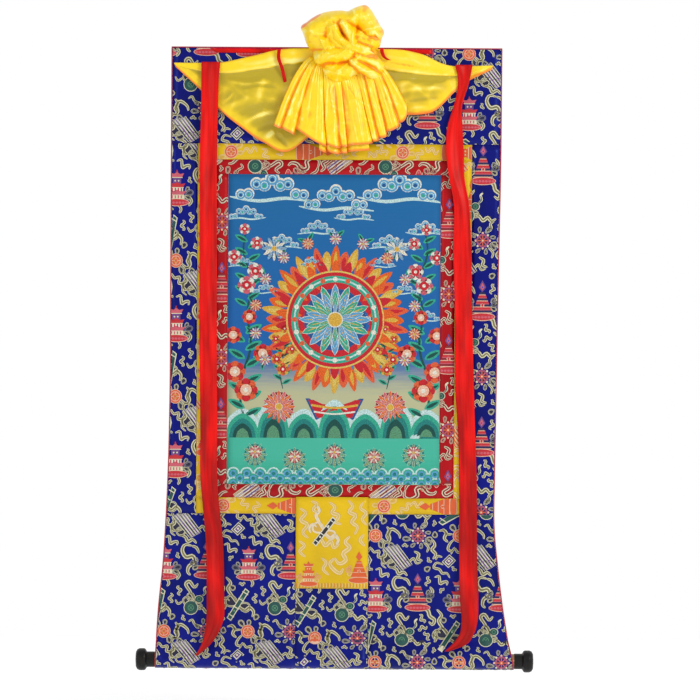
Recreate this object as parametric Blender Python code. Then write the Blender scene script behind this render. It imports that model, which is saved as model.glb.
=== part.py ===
"""A mounted scroll painting on brocade, hung up, with its silk veil gathered at the top.

Metres. X runs across, Z is up, the front looks along -Y and the wall is on +Y. The origin is the
middle of the top edge, where the scroll hangs. Every flat piece follows one gently waving sheet,
and "down" is the distance below the top edge.
"""

import math

import bmesh
import bpy
import numpy as np

# The sewn sheet
SHEET = 0.002  # brocade, borders and canvas are this thick
SEAM = 0.0004  # pieces stay this far apart
WAVE_DEPTH = 0.0025
WAVE_ACROSS = 0.52
WAVE_DRIFT = 2.2  # radians a metre down
WAVE_CALM = 0.20  # it dies away over this distance from the top edge and the hem
OUTER = (("down", "left", "right"),
         (0.000, -0.348, 0.349),
         (0.250, -0.348, 0.348),
         (0.500, -0.348, 0.344),
         (0.740, -0.348, 0.341),
         (0.900, -0.351, 0.339),
         (1.020, -0.356, 0.339),
         (1.100, -0.361, 0.347),
         (1.180, -0.369, 0.357),
         (1.243, -0.373, 0.367),
         (1.328, -0.375, 0.381),
         (1.413, -0.373, 0.367))

# The border strips and the canvas, each as (left, right, upper edge, lower edge)
FLARE_END = 1.21  # the sides run straight below this
GOLD_OUTER = (-0.2926, 0.2883, 0.2025, 0.9869)
RED_OUTER = (-0.2578, 0.2533, 0.2364, 0.9530)
CANVAS = (-0.2280, 0.2226, 0.2673, 0.9245)
PATCH = (-0.0806, 0.0731, 0.9508, 1.1448)

# The roller, its knobs and the hem round it
ROLLER_DROP = 1.2970
ROLLER_RADIUS = 0.0155
HEM_RADIUS = ROLLER_RADIUS + 2 * SEAM + SHEET / 2
HEM_APEX = 0.040  # the pocket closes this far above the roller's middle
HEM_TAIL = 0.014
HEM_CREASE = 0.004  # the cloth turns this close to each bend of the pocket
KNOB_PROFILE = (("from_cloth", "radius"),
                (0.0000, 0.0165),
                (0.0160, 0.0165),
                (0.0176, 0.0190),
                (0.0196, 0.0222),
                (0.0224, 0.0234),
                (0.0316, 0.0234),
                (0.0366, 0.0212),
                (0.0396, 0.0160),
                (0.0402, 0.0080))
KNOB_SIDES = 28
KNOB_SHARP = math.radians(35)
PIPING_RADIUS = 0.0012

# The veil: a flat-lying sheet from wing tip to wing tip, a pleated fan and a bunch
VEIL = 0.0016
WINGS = (("place", "x_top", "down_top", "x_low", "down_low", "front", "fold"),
         (0.00, -0.3445, 0.033, -0.341, 0.041, 0.0060, 0.000),
         (0.08, -0.2880, 0.033, -0.288, 0.090, 0.0080, 0.002),
         (0.15, -0.2460, 0.032, -0.247, 0.132, 0.0100, 0.004),
         (0.25, -0.1800, 0.018, -0.201, 0.169, 0.0130, 0.006),
         (0.34, -0.1190, 0.004, -0.155, 0.200, 0.0160, 0.007),
         (0.42, -0.0615, 0.001, -0.098, 0.218, 0.0180, 0.006),
         (0.48, -0.0250, 0.001, -0.036, 0.170, 0.0180, 0.003),
         (0.54, 0.0400, 0.001, 0.030, 0.130, 0.0180, 0.002),
         (0.62, 0.0950, 0.002, 0.085, 0.140, 0.0180, 0.004),
         (0.69, 0.1335, 0.003, 0.144, 0.141, 0.0160, 0.006),
         (0.77, 0.1800, 0.012, 0.203, 0.134, 0.0130, 0.006),
         (0.86, 0.2225, 0.031, 0.252, 0.090, 0.0100, 0.004),
         (0.92, 0.2510, 0.037, 0.278, 0.069, 0.0080, 0.002),
         (1.00, 0.3310, 0.035, 0.329, 0.043, 0.0060, 0.000))
FAN = (("place", "x_top", "down_top", "x_hem", "down_hem", "bulge"),
       (0.00, -0.052, 0.018, -0.132, 0.168, -0.014),
       (0.10, -0.044, 0.030, -0.095, 0.181, -0.008),
       (0.24, -0.030, 0.038, -0.038, 0.207, 0.000),
       (0.38, -0.010, 0.042, 0.005, 0.227, 0.000),
       (0.50, 0.012, 0.043, 0.036, 0.215, 0.000),
       (0.62, 0.036, 0.043, 0.068, 0.205, 0.000),
       (0.74, 0.056, 0.043, 0.093, 0.196, 0.000),
       (0.86, 0.074, 0.042, 0.121, 0.175, 0.003),
       (0.95, 0.086, 0.040, 0.144, 0.151, 0.006),
       (1.00, 0.092, 0.036, 0.150, 0.124, 0.006))
WING_SWELLS = 1.15  # folds from the top edge to the lower edge
WING_FLATTEN, SWELL_FADE = 0.3, 0.5  # the shares of the stand and of the fold lost on the way down
FAN_PLEATS = 8.5
FAN_DEPTH = 0.011  # each pleat's rise at the hem
FAN_FRONT_TOP, FAN_FRONT_HEM = 0.030, 0.038
PLEAT_START = 0.12  # the share of a pleat's rise that it has at the gather
BULGE_EASE = 0.6
BUNCH_MIDDLE = (0.0064, 0.0074)  # x and height above the top edge
BUNCH = (("turn", "reach"),
         (-180, 0.070), (-160, 0.062), (-144, 0.067), (-119, 0.080), (-96, 0.083),
         (-70, 0.076), (-46, 0.106), (-30, 0.108), (-18, 0.084), (-8, 0.079),
         (7, 0.087), (18, 0.095), (35, 0.095), (45, 0.096), (58, 0.099),
         (70, 0.080), (80, 0.070), (95, 0.073), (122, 0.072), (149, 0.086),
         (160, 0.090), (180, 0.070))
BUNCH_REST = 0.026  # its rim stands this far in front of the sheet
BUNCH_FRONT, BUNCH_BACK = 0.052, 0.020
BUNCH_SHOULDER = 0.7  # below 1, the bunch is fuller than an ellipse
BUNCH_FOLDS = 6
BUNCH_FOLD_DEPTH, BUNCH_SWIRL = 0.07, 2.2

# Ribbons, ties and the band along the top
RIBBON = 0.0012
STREAMER_LEFT = (("down", "left", "right", "front", "turn"),
                 (0.031, -0.286, -0.246, 0.0155, 0.000),
                 (0.056, -0.286, -0.248, 0.0185, 0.002),
                 (0.118, -0.286, -0.250, 0.0185, 0.001),
                 (0.205, -0.288, -0.252, 0.0120, -0.002),
                 (0.427, -0.288, -0.251, 0.0080, 0.001),
                 (0.639, -0.287, -0.250, 0.0080, -0.001),
                 (0.809, -0.284, -0.248, 0.0080, 0.002),
                 (0.915, -0.283, -0.247, 0.0090, 0.003),
                 (0.957, -0.279, -0.244, 0.0100, 0.003),
                 (1.042, -0.271, -0.235, 0.0120, -0.001),
                 (1.169, -0.268, -0.231, 0.0190, -0.003),
                 (1.207, -0.268, -0.231, 0.0220, -0.002),
                 (1.241, -0.272, -0.244, 0.0240, 0.000),
                 (1.267, -0.280, -0.263, 0.0240, 0.001),
                 (1.287, -0.291, -0.287, 0.0240, 0.000))
STREAMER_RIGHT = (("down", "left", "right", "front", "turn"),
                  (0.034, 0.250, 0.288, 0.0150, 0.000),
                  (0.056, 0.256, 0.284, 0.0180, 0.003),
                  (0.077, 0.257, 0.279, 0.0190, 0.005),
                  (0.120, 0.249, 0.266, 0.0190, 0.006),
                  (0.162, 0.236, 0.267, 0.0160, 0.003),
                  (0.215, 0.233, 0.270, 0.0130, -0.003),
                  (0.270, 0.239, 0.272, 0.0120, -0.004),
                  (0.321, 0.249, 0.281, 0.0110, 0.000),
                  (0.427, 0.249, 0.288, 0.0080, 0.001),
                  (0.533, 0.253, 0.290, 0.0080, -0.001),
                  (0.745, 0.257, 0.296, 0.0080, 0.001),
                  (0.809, 0.262, 0.298, 0.0080, 0.002),
                  (0.915, 0.265, 0.302, 0.0090, 0.002),
                  (1.084, 0.266, 0.304, 0.0130, -0.002),
                  (1.169, 0.268, 0.307, 0.0200, -0.003),
                  (1.212, 0.271, 0.305, 0.0230, -0.001),
                  (1.241, 0.266, 0.296, 0.0240, 0.001),
                  (1.262, 0.250, 0.278, 0.0240, 0.001),
                  (1.275, 0.236, 0.244, 0.0240, 0.000))
TIE_LEFT = (("down", "left", "right", "front", "turn"),
            (0.003, -0.1250, -0.1175, 0.0270, 0.000),
            (0.020, -0.1265, -0.1190, 0.0270, 0.000),
            (0.046, -0.1185, -0.1110, 0.0220, 0.000),
            (0.080, -0.1110, -0.1040, 0.0160, 0.000))
TIE_RIGHT = (("down", "left", "right", "front", "turn"),
             (0.001, 0.0910, 0.0990, 0.0280, 0.000),
             (0.012, 0.0930, 0.1010, 0.0290, 0.000),
             (0.021, 0.0985, 0.1065, 0.0280, 0.000),
             (0.026, 0.1060, 0.1150, 0.0270, 0.000))
BAND = (-0.269, 0.203, 0.0008, 0.0105)  # left, right, upper edge, lower edge
BAND_THICK = 0.001
BAND_SLANT = 0.014

COLOURS = {  # base colour, roughness, metallic
    "blue_brocade": ((0.020, 0.014, 0.190), 0.55, 0.0),
    "gold_brocade": ((0.680, 0.440, 0.020), 0.50, 0.0),
    "red_brocade": ((0.480, 0.010, 0.012), 0.55, 0.0),
    "canvas": ((0.020, 0.300, 0.330), 0.70, 0.0),
    "yellow_silk": ((0.950, 0.620, 0.010), 0.40, 0.0),
    "red_satin": ((0.650, 0.006, 0.004), 0.38, 0.0),
    "red_cord": ((0.560, 0.030, 0.040), 0.60, 0.0),
    "dowel_wood": ((0.350, 0.200, 0.100), 0.60, 0.0),
    "black_lacquer": ((0.010, 0.010, 0.011), 0.30, 0.0),
}


def material(name):
    """The named finish as a Principled BSDF, made once."""
    made = bpy.data.materials.get(name)
    if made is None:
        made = bpy.data.materials.new(name)
        made.use_nodes = True
        colour, roughness, metallic = COLOURS[name]
        shader = made.node_tree.nodes["Principled BSDF"]
        shader.inputs["Base Color"].default_value = (*colour, 1.0)
        shader.inputs["Roughness"].default_value = roughness
        shader.inputs["Metallic"].default_value = metallic
    return made


def new_object(name, points, faces, finish):
    mesh = bpy.data.meshes.new(name)
    mesh.from_pydata(np.asarray(points).tolist(), [], faces)
    mesh.materials.append(material(finish))
    made = bpy.data.objects.new(name, mesh)
    bpy.context.scene.collection.objects.link(made)
    return made


def column(table, name, at):
    """A smooth curve through one column of a table, read at values of its first column: cubic
    spans whose slope at each row is the mean of the slopes beside it."""
    rows = np.array(table[1:], float)
    known, values = rows[:, 0], rows[:, table[0].index(name)]
    slopes = np.gradient(values, known)
    at = np.clip(np.asarray(at, float), known[0], known[-1])
    i = np.clip(np.searchsorted(known, at) - 1, 0, len(known) - 2)
    width = known[i + 1] - known[i]
    t = (at - known[i]) / width
    return ((1 + 2 * t) * (1 - t) ** 2 * values[i] + t * (1 - t) ** 2 * width * slopes[i]
            + t * t * (3 - 2 * t) * values[i + 1] - t * t * (1 - t) * width * slopes[i + 1])


def wave(x, down):
    """How far the hanging sheet stands forward: a slow swell across, at rest at the top and the hem."""
    calm = np.clip(down / WAVE_CALM, 0, 1) * np.clip((FLARE_END - down) / WAVE_CALM, 0, 1)
    return WAVE_DEPTH * calm * np.sin(2 * math.pi * x / WAVE_ACROSS + WAVE_DRIFT * down)


# The hem's pocket, along the cloth: a straight run from the apex to the roller, the turn under it,
# and a straight run up behind to the apex, then the tail.
APEX = ROLLER_DROP - HEM_APEX
HEM_LEAN = math.acos(HEM_RADIUS / HEM_APEX)
HEM_RUN = math.sqrt(HEM_APEX ** 2 - HEM_RADIUS ** 2)
HEM_SWEEP = 2 * (math.pi - HEM_LEAN)
TURN_START = APEX + HEM_RUN
TURN_END = TURN_START + HEM_RADIUS * HEM_SWEEP
POCKET_END = TURN_END + HEM_RUN
HEM_END = POCKET_END + HEM_TAIL
HEM_LOWEST = TURN_START + HEM_RADIUS * HEM_SWEEP / 2


def hem_path(down):
    """The (forward, down) place of the sheet's middle, by the distance along the cloth: straight to
    the apex of the pocket, on a tangent to the front of the roller, round under it, and up behind."""
    along = np.asarray(down, float)
    angle = HEM_LEAN + np.clip((along - TURN_START) / HEM_RADIUS, 0, HEM_SWEEP)
    round_forward, round_down = HEM_RADIUS * np.sin(angle), ROLLER_DROP - HEM_RADIUS * np.cos(angle)
    first = np.clip((along - APEX) / HEM_RUN, 0, 1)
    last = np.clip((along - TURN_END) / HEM_RUN, 0, 1)
    behind = -(SHEET + SEAM)
    forward = np.where(along < TURN_START, first * round_forward,
                       round_forward + last * (behind - round_forward))
    below = np.where(along < TURN_START, np.minimum(along, APEX) + first * (round_down - APEX),
                     round_down + last * (APEX - round_down) - np.clip(along - POCKET_END, 0, None))
    return forward, below


def sheet_solid(name, middle, thickness, finish):
    """A closed sheet: the grid of middle points, rows down and columns to +X, moved half the
    thickness along its normals to the front and to the back, with a wall round the outside."""
    rows, columns = middle.shape[:2]
    normal = np.cross(np.gradient(middle, axis=0), np.gradient(middle, axis=1))
    normal /= np.linalg.norm(normal, axis=2, keepdims=True)
    front, back = middle + normal * thickness / 2, middle - normal * thickness / 2
    points = np.concatenate([front.reshape(-1, 3), back.reshape(-1, 3)])
    behind = rows * columns
    number = np.arange(behind).reshape(rows, columns)
    cells = np.stack([number[:-1, :-1], number[1:, :-1], number[1:, 1:], number[:-1, 1:]], axis=-1)
    cells = cells.reshape(-1, 4)
    rim = np.concatenate([number[:, 0], number[-1, 1:], number[-2::-1, -1], number[0, -2:0:-1]])
    after = np.roll(rim, -1)
    walls = np.stack([after, rim, rim + behind, after + behind], axis=1)
    faces = np.concatenate([cells, cells[:, ::-1] + behind, walls]).tolist()
    return new_object(name, points, faces, finish)


def hanging_points(x, down, forward=0.0):
    """Points on the waving sheet, moved forward by a layer's distance."""
    place, below = hem_path(down)
    y = -(place + wave(x, down) + forward)
    return np.stack(np.broadcast_arrays(x, y, -below), axis=-1)


def flat_piece(name, edges, finish, columns, rows, forward=0.0, gap=SEAM / 2):
    """A rectangular piece of the sheet, which stops half a seam inside its cut line."""
    left, right, upper, lower = edges
    across = np.linspace(left + gap, right - gap, columns)
    down = np.linspace(upper + gap, lower - gap, rows)
    x, d = np.meshgrid(across, down)
    return sheet_solid(name, hanging_points(x, d, forward), SHEET, finish)


def hem_rows():
    """Distances down the cloth that follow the pocket round the roller."""
    turn = np.linspace(TURN_START, TURN_END, 13)
    apex = [APEX - HEM_CREASE, APEX + HEM_CREASE]
    closing = [POCKET_END - HEM_CREASE, POCKET_END + HEM_CREASE / 2]
    return np.concatenate([apex, turn, closing, [HEM_END]])


def top_rows():
    """Distances down the upper panel."""
    return np.linspace(0, GOLD_OUTER[2] - SEAM / 2, 5)


def strip_rows():
    """Distances down the strip beside the border."""
    return np.linspace(GOLD_OUTER[2] + SEAM / 2, GOLD_OUTER[3] - SEAM / 2, 12)


def foot_rows():
    """Distances down a foot panel: the flare, then round the roller."""
    return np.concatenate([np.linspace(GOLD_OUTER[3] + SEAM / 2, FLARE_END, 7), hem_rows()])


def brocade_panel(name, left, right, down, columns):
    """A panel of the mount between two edges, each one distance or one for every row."""
    left, right = np.broadcast_to(left, down.shape), np.broadcast_to(right, down.shape)
    x = left[:, None] + (right - left)[:, None] * np.linspace(0, 1, columns)
    return sheet_solid(name, hanging_points(x, down[:, None]), SHEET, "blue_brocade")


def mount():
    """The brocade round the border: a panel over it, a strip down each side and three foot panels
    that turn up round the roller. The middle foot panel lies under the patch."""
    down = top_rows()
    brocade_panel("brocade_top", column(OUTER, "left", down), column(OUTER, "right", down), down, 13)
    down = strip_rows()
    brocade_panel("brocade_left", column(OUTER, "left", down), GOLD_OUTER[0] - SEAM / 2, down, 3)
    brocade_panel("brocade_right", GOLD_OUTER[1] + SEAM / 2, column(OUTER, "right", down), down, 3)
    down = foot_rows()
    brocade_panel("brocade_foot_left", column(OUTER, "left", down), PATCH[0] - SEAM / 2, down, 9)
    brocade_panel("brocade_foot_centre", PATCH[0] + SEAM / 2, PATCH[1] - SEAM / 2, down, 5)
    brocade_panel("brocade_foot_right", PATCH[1] + SEAM / 2, column(OUTER, "right", down), down, 9)


def frame_strips(colour, outer, inner):
    """Four strips round an opening: the upper and lower ones run the full width."""
    left, right, upper, lower = outer
    finish = colour + "_brocade"
    flat_piece(colour + "_top", (left, right, upper, inner[2]), finish, columns=11, rows=3)
    flat_piece(colour + "_bottom", (left, right, inner[3], lower), finish, columns=11, rows=3)
    flat_piece(colour + "_left", (left, inner[0], inner[2], inner[3]), finish, columns=3, rows=9)
    flat_piece(colour + "_right", (inner[1], right, inner[2], inner[3]), finish, columns=3, rows=9)


def tube(name, points, radius, finish):
    """A round cord along a route, with closed ends."""
    curve = bpy.data.curves.new(name, "CURVE")
    curve.dimensions = "3D"
    curve.bevel_depth = radius
    curve.bevel_resolution = 2
    curve.use_fill_caps = True
    spline = curve.splines.new("POLY")
    spline.points.add(len(points) - 1)
    for slot, point in zip(spline.points, points):
        slot.co = (*point, 1.0)
    curve.materials.append(material(finish))
    made = bpy.data.objects.new(name, curve)
    bpy.context.scene.collection.objects.link(made)
    return made


def side_piping(name, side):
    """The piping beside one outer edge, from the top corner round under the roller."""
    down = np.concatenate([top_rows(), strip_rows(), foot_rows()[:-2]])
    outward = -1 if side == "left" else 1
    x = column(OUTER, side, down) + outward * (PIPING_RADIUS + SEAM)
    return tube(name, hanging_points(x, down), PIPING_RADIUS, "red_cord")


def top_piping():
    left, right = OUTER[1][1], OUTER[1][2]
    x = np.linspace(left, right, 3)
    points = np.stack([x, np.zeros(3), np.full(3, PIPING_RADIUS + SEAM)], axis=1)
    return tube("piping_top", points, PIPING_RADIUS, "red_cord")


def turned(name, profile, finish):
    """A turned piece about the X axis: the profile's (distance, radius) rows spun round, with flat ends."""
    sides = KNOB_SIDES
    profile = np.array(profile, float)
    angle = 2 * math.pi * np.arange(sides) / sides
    x = np.repeat(profile[:, 0], sides)
    points = np.stack([x, np.outer(profile[:, 1], np.cos(angle)).ravel(),
                       np.outer(profile[:, 1], np.sin(angle)).ravel()], axis=1)
    faces = [list(range(sides)), list(range((len(profile) - 1) * sides, len(profile) * sides))]
    for ring in range(len(profile) - 1):
        for n in range(sides):
            m = (n + 1) % sides
            faces.append([ring * sides + n, ring * sides + m, (ring + 1) * sides + m, (ring + 1) * sides + n])
    made = new_object(name, points, faces, finish)
    shell = bmesh.new()
    shell.from_mesh(made.data)
    bmesh.ops.recalc_face_normals(shell, faces=shell.faces)
    shell.to_mesh(made.data)
    shell.free()
    made.data.shade_smooth()
    made.data.set_sharp_from_angle(angle=KNOB_SHARP)
    made.location = (0, 0, -ROLLER_DROP)
    return made


def roller():
    """The wooden dowel inside the hem, and a knob on each end."""
    ends = column(OUTER, "left", HEM_LOWEST), column(OUTER, "right", HEM_LOWEST)
    reach = 2 * PIPING_RADIUS + 2 * SEAM
    left, right = float(ends[0]) - reach, float(ends[1]) + reach
    turned("roller", [(left + SEAM, ROLLER_RADIUS), (right - SEAM, ROLLER_RADIUS)], "dowel_wood")
    rows = np.array(KNOB_PROFILE[1:], float)
    turned("knob_left", np.stack([left - rows[:, 0], rows[:, 1]], axis=1), "black_lacquer")
    turned("knob_right", np.stack([right + rows[:, 0], rows[:, 1]], axis=1), "black_lacquer")


def ribbon(name, table, columns=3):
    """A ribbon that hangs: its two edges and its distance in front of the sheet by table, its
    section leaning forward on the right by the turn."""
    rows = np.array(table[1:], float)
    down = np.sort(np.concatenate([rows[:, 0], (rows[1:, 0] + rows[:-1, 0]) / 2]))
    left, right = column(table, "left", down), column(table, "right", down)
    front, turn = column(table, "front", down), column(table, "turn", down)
    across = np.linspace(0, 1, columns)
    x = left[:, None] + (right - left)[:, None] * across
    forward = front[:, None] + turn[:, None] * (2 * across - 1)
    below = np.broadcast_to(-down[:, None], x.shape)
    points = np.stack([x, -(forward + wave(x, down[:, None])), below], axis=-1)
    return sheet_solid(name, points, RIBBON, "red_satin")


def hanging_band():
    """A flat tape along the top edge, behind the veil, its left end cut on the slant."""
    left, right, upper, lower = BAND
    across = np.linspace(0, 1, 10)
    upper_x = left + (right - left) * across
    lower_x = upper_x + BAND_SLANT * (1 - across)
    x = np.stack([upper_x, lower_x])
    down = np.stack([np.full(10, upper), np.full(10, lower)])
    forward = SHEET / 2 + SEAM + BAND_THICK / 2
    points = np.stack([x, -(forward + wave(x, down)), -down], axis=-1)
    return sheet_solid("hanging_band", points, BAND_THICK, "red_satin")


def veil_wings():
    """The flat-lying part of the veil: straight lines from the top edge to the lower edge of the
    table, standing forward in one rolled fold under the top edge and a softer one below it."""
    u = np.linspace(0, 1, 34)
    v = np.linspace(0, 1, 9)[:, None]
    x = (1 - v) * column(WINGS, "x_top", u) + v * column(WINGS, "x_low", u)
    down = (1 - v) * column(WINGS, "down_top", u) + v * column(WINGS, "down_low", u)
    swell = np.cos(2 * math.pi * WING_SWELLS * v) * (1 - SWELL_FADE * v)
    forward = column(WINGS, "front", u) * (1 - WING_FLATTEN * v) + column(WINGS, "fold", u) * swell
    points = np.stack([x, -(forward + wave(x, down)), -down], axis=-1)
    return sheet_solid("veil", points, VEIL, "yellow_silk")


def veil_fan():
    """The pleated skirt: straight lines from the gather to the hem, its pleats opening downwards."""
    u = np.linspace(0, 1, 54)
    v = np.linspace(0, 1, 7)[:, None]
    bulge = column(FAN, "bulge", u) * np.sin(math.pi * v ** BULGE_EASE)
    x = (1 - v) * column(FAN, "x_top", u) + v * column(FAN, "x_hem", u) + bulge
    down = (1 - v) * column(FAN, "down_top", u) + v * column(FAN, "down_hem", u)
    forward = FAN_FRONT_TOP + (FAN_FRONT_HEM - FAN_FRONT_TOP) * v
    opened = PLEAT_START + (1 - PLEAT_START) * v
    forward = forward + FAN_DEPTH * opened * np.sin(2 * math.pi * FAN_PLEATS * u)
    points = np.stack([x, -forward, -down], axis=-1)
    return sheet_solid("veil_fan_shape", points, VEIL, "yellow_silk")


def veil_bunch():
    """The gathered bunch: a closed shell over the outline in the table, domed to the front and
    shallow behind, with folds that wind round it."""
    turns, rings = 36, 11
    turn = np.linspace(-math.pi, math.pi, turns, endpoint=False)
    rise = np.linspace(-math.pi / 2, math.pi / 2, rings + 2)[1:-1, None]
    reach = column(BUNCH, "reach", np.degrees(turn))
    fold = 1 + BUNCH_FOLD_DEPTH * np.sin(BUNCH_FOLDS * turn + BUNCH_SWIRL * rise) * np.cos(rise)
    spread = reach * np.cos(rise) ** BUNCH_SHOULDER * fold
    depth = np.where(rise > 0, BUNCH_FRONT, BUNCH_BACK) * np.sin(rise)
    x = BUNCH_MIDDLE[0] + spread * np.cos(turn)
    z = BUNCH_MIDDLE[1] + spread * np.sin(turn)
    y = -(BUNCH_REST + depth)
    points = np.stack([x, np.broadcast_to(y, x.shape), z], axis=-1).reshape(-1, 3)
    poles = [(BUNCH_MIDDLE[0], -(BUNCH_REST - BUNCH_BACK), BUNCH_MIDDLE[1]),
             (BUNCH_MIDDLE[0], -(BUNCH_REST + BUNCH_FRONT), BUNCH_MIDDLE[1])]
    points = np.concatenate([points, poles])
    back, front = rings * turns, rings * turns + 1
    faces = []
    for n in range(turns):
        m = (n + 1) % turns
        faces.append([back, n, m])
        faces.append([front, (rings - 1) * turns + m, (rings - 1) * turns + n])
        for ring in range(rings - 1):
            a = ring * turns
            faces.append([a + n, a + turns + n, a + turns + m, a + m])
    made = new_object("veil_bunch_shape", points, faces, "yellow_silk")
    shell = bmesh.new()
    shell.from_mesh(made.data)
    bmesh.ops.recalc_face_normals(shell, faces=shell.faces)
    shell.to_mesh(made.data)
    shell.free()
    return made


def veil():
    """The wings, the fan and the bunch made one cloth."""
    whole = veil_wings()
    for guide in (veil_fan(), veil_bunch()):
        guide.hide_render = True
        guide.display_type = "WIRE"
        joined = whole.modifiers.new("join_" + guide.name, "BOOLEAN")
        joined.operation = "UNION"
        joined.object = guide
    return whole


for leftover in list(bpy.data.objects):
    bpy.data.objects.remove(leftover)

mount()
side_piping("piping_left", "left")
side_piping("piping_right", "right")
top_piping()
frame_strips("gold", GOLD_OUTER, RED_OUTER)
frame_strips("red", RED_OUTER, CANVAS)
flat_piece("painting", CANVAS, "canvas", columns=11, rows=9)
flat_piece("gold_patch", PATCH, "gold_brocade", columns=5, rows=5, forward=SHEET + SEAM, gap=0)
roller()
hanging_band()
veil()
ribbon("streamer_left", STREAMER_LEFT)
ribbon("streamer_right", STREAMER_RIGHT)
ribbon("tie_left", TIE_LEFT, columns=2)
ribbon("tie_right", TIE_RIGHT, columns=2)
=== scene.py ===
"""A mounted scroll painting: figured brocade, a painted canvas, a silk veil and satin ribbons.

The script follows the scroll as it is sewn together, one section for each kind of piece. "Down" is
the distance below the top edge, measured along the cloth; "forward" is the distance in front of it.
"""

import math

import bpy
import numpy as np
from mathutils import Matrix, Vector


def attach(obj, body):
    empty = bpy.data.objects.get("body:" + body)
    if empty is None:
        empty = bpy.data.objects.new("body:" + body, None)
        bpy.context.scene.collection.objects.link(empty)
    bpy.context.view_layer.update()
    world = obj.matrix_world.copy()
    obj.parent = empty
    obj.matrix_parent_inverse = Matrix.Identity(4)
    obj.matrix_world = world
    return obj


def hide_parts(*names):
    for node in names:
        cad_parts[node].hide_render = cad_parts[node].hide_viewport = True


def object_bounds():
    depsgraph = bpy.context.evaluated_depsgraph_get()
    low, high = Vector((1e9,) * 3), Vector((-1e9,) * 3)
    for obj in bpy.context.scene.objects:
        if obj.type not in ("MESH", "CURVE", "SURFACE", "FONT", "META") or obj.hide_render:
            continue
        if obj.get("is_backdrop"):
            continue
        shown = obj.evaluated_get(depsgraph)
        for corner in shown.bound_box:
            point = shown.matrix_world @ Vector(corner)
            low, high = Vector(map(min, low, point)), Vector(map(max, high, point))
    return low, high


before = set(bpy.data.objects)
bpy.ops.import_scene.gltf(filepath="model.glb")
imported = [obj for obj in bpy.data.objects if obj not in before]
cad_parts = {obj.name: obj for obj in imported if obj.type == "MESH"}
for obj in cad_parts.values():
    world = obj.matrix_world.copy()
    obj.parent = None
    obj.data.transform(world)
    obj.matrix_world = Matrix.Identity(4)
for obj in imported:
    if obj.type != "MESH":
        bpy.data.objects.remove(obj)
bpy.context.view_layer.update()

# ---------------------------------------------------------------- Camera, light and floor
# The scroll hangs free, seen face on from far off, in front of a bright white studio wall. A broad
# soft lamp stands on the right, a weaker one on the left, and the floor lies just below the roller.
VIEW_WIDTH = 1.484  # what the camera takes in across the scroll
CAMERA_PLACE = (0.032, -9.0, -0.639)
CAMERA_ROLL = math.radians(-0.35)
SENSOR = 36.0
FLOOR_DROP = 1.42
FLOOR_SIDE = 5.0

camera_data = bpy.data.cameras.new("camera")
camera_data.sensor_width = SENSOR
camera_data.lens = SENSOR * abs(CAMERA_PLACE[1]) / VIEW_WIDTH
camera_data.clip_end = 60.0
camera = bpy.data.objects.new("camera", camera_data)
camera.location = CAMERA_PLACE
camera.rotation_euler = (math.pi / 2, CAMERA_ROLL, 0)
bpy.context.scene.collection.objects.link(camera)
bpy.context.scene.camera = camera
bpy.context.scene.view_settings.view_transform = "Standard"


def plug(socket, value):
    """Links a socket or a wire to this input, or sets it to a plain value."""
    if isinstance(value, Wire):
        value = value.socket
    if isinstance(value, bpy.types.NodeSocket):
        socket.id_data.links.new(value, socket)
    elif socket.type == "RGBA" and len(value) == 3:
        socket.default_value = (*value, 1.0)
    else:
        socket.default_value = value


class Wire:
    """A shader socket that can be reckoned with: each operator adds a Math node."""

    def __init__(self, socket):
        self.socket = socket

    def node(self, kind, settings=None, values=None, output=0):
        """A new node of this type, its settings first, then values or links for its sockets."""
        made = self.socket.id_data.nodes.new("ShaderNode" + kind)
        for name, value in (settings or {}).items():
            if name == "stops":
                while len(made.color_ramp.elements) < len(value):
                    made.color_ramp.elements.new(0.5)
                for element, (place, colour) in zip(made.color_ramp.elements, value):
                    element.position, element.color = place, (*colour, 1.0)
            else:
                setattr(made, name, value)
        for name, value in (values or {}).items():
            plug(made.inputs[name], value)
        return Wire(made.outputs[output])

    def math(self, operation, *others, clamp=False):
        values = dict(enumerate((self, *others)))
        return self.node("Math", {"operation": operation, "use_clamp": clamp}, values)

    def __add__(self, other):
        return self.math("ADD", other)

    def __sub__(self, other):
        return self.math("SUBTRACT", other)

    def __rsub__(self, other):
        return (self * -1.0) + other

    def __mul__(self, other):
        return self.math("MULTIPLY", other)

    __radd__, __rmul__ = __add__, __mul__

    def step(self, low, high):
        """0 below low, 1 above high, and a smooth rise between."""
        settings = {"interpolation_type": "SMOOTHSTEP"}
        return self.node("MapRange", settings, {0: self, 1: low, 2: high, 3: 0.0, 4: 1.0})

    def mix(self, first, second):
        """The first colour where this is 0, the second where it is 1."""
        settings = {"data_type": "RGBA", "clamp_factor": True}
        return self.node("Mix", settings, {0: self, 6: first, 7: second}, output=2)

    def scaled(self, size):
        """This vector times (x, y, z)."""
        return self.node("VectorMath", {"operation": "MULTIPLY"}, {0: self, 1: size})

    def part(self, axis):
        """The x, y or z of this vector, for axis 0, 1 or 2."""
        return self.node("SeparateXYZ", {}, {0: self}, output=axis)

    def noise(self, across, down, detail=2.0, depth=0.0):
        """Noise on this vector, with so many waves a metre each way."""
        stretched = self.scaled((across, down, depth))
        return self.node("TexNoise", {}, {"Vector": stretched, "Scale": 1.0, "Detail": detail})

    def bump(self, strength, depth=0.0002):
        """A Normal dented by this height."""
        return self.node("Bump", {}, {"Strength": strength, "Distance": depth, "Height": self})


def start_material(name):
    """A new material and its Principled shader."""
    made = bpy.data.materials.new(name)
    made.use_nodes = True
    return made, made.node_tree.nodes["Principled BSDF"]


def mark(shader, name, output=1):
    """The mesh's attribute of this name: a vector, or a colour for output 0."""
    return Wire(shader.outputs[0]).node("Attribute", {"attribute_name": name}, output=output)


def set_shader(shader, **values):
    """Sets or links the shader's sockets, named with _ for a space."""
    for name, value in values.items():
        plug(shader.inputs[name.replace("_", " ")], value)


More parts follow.
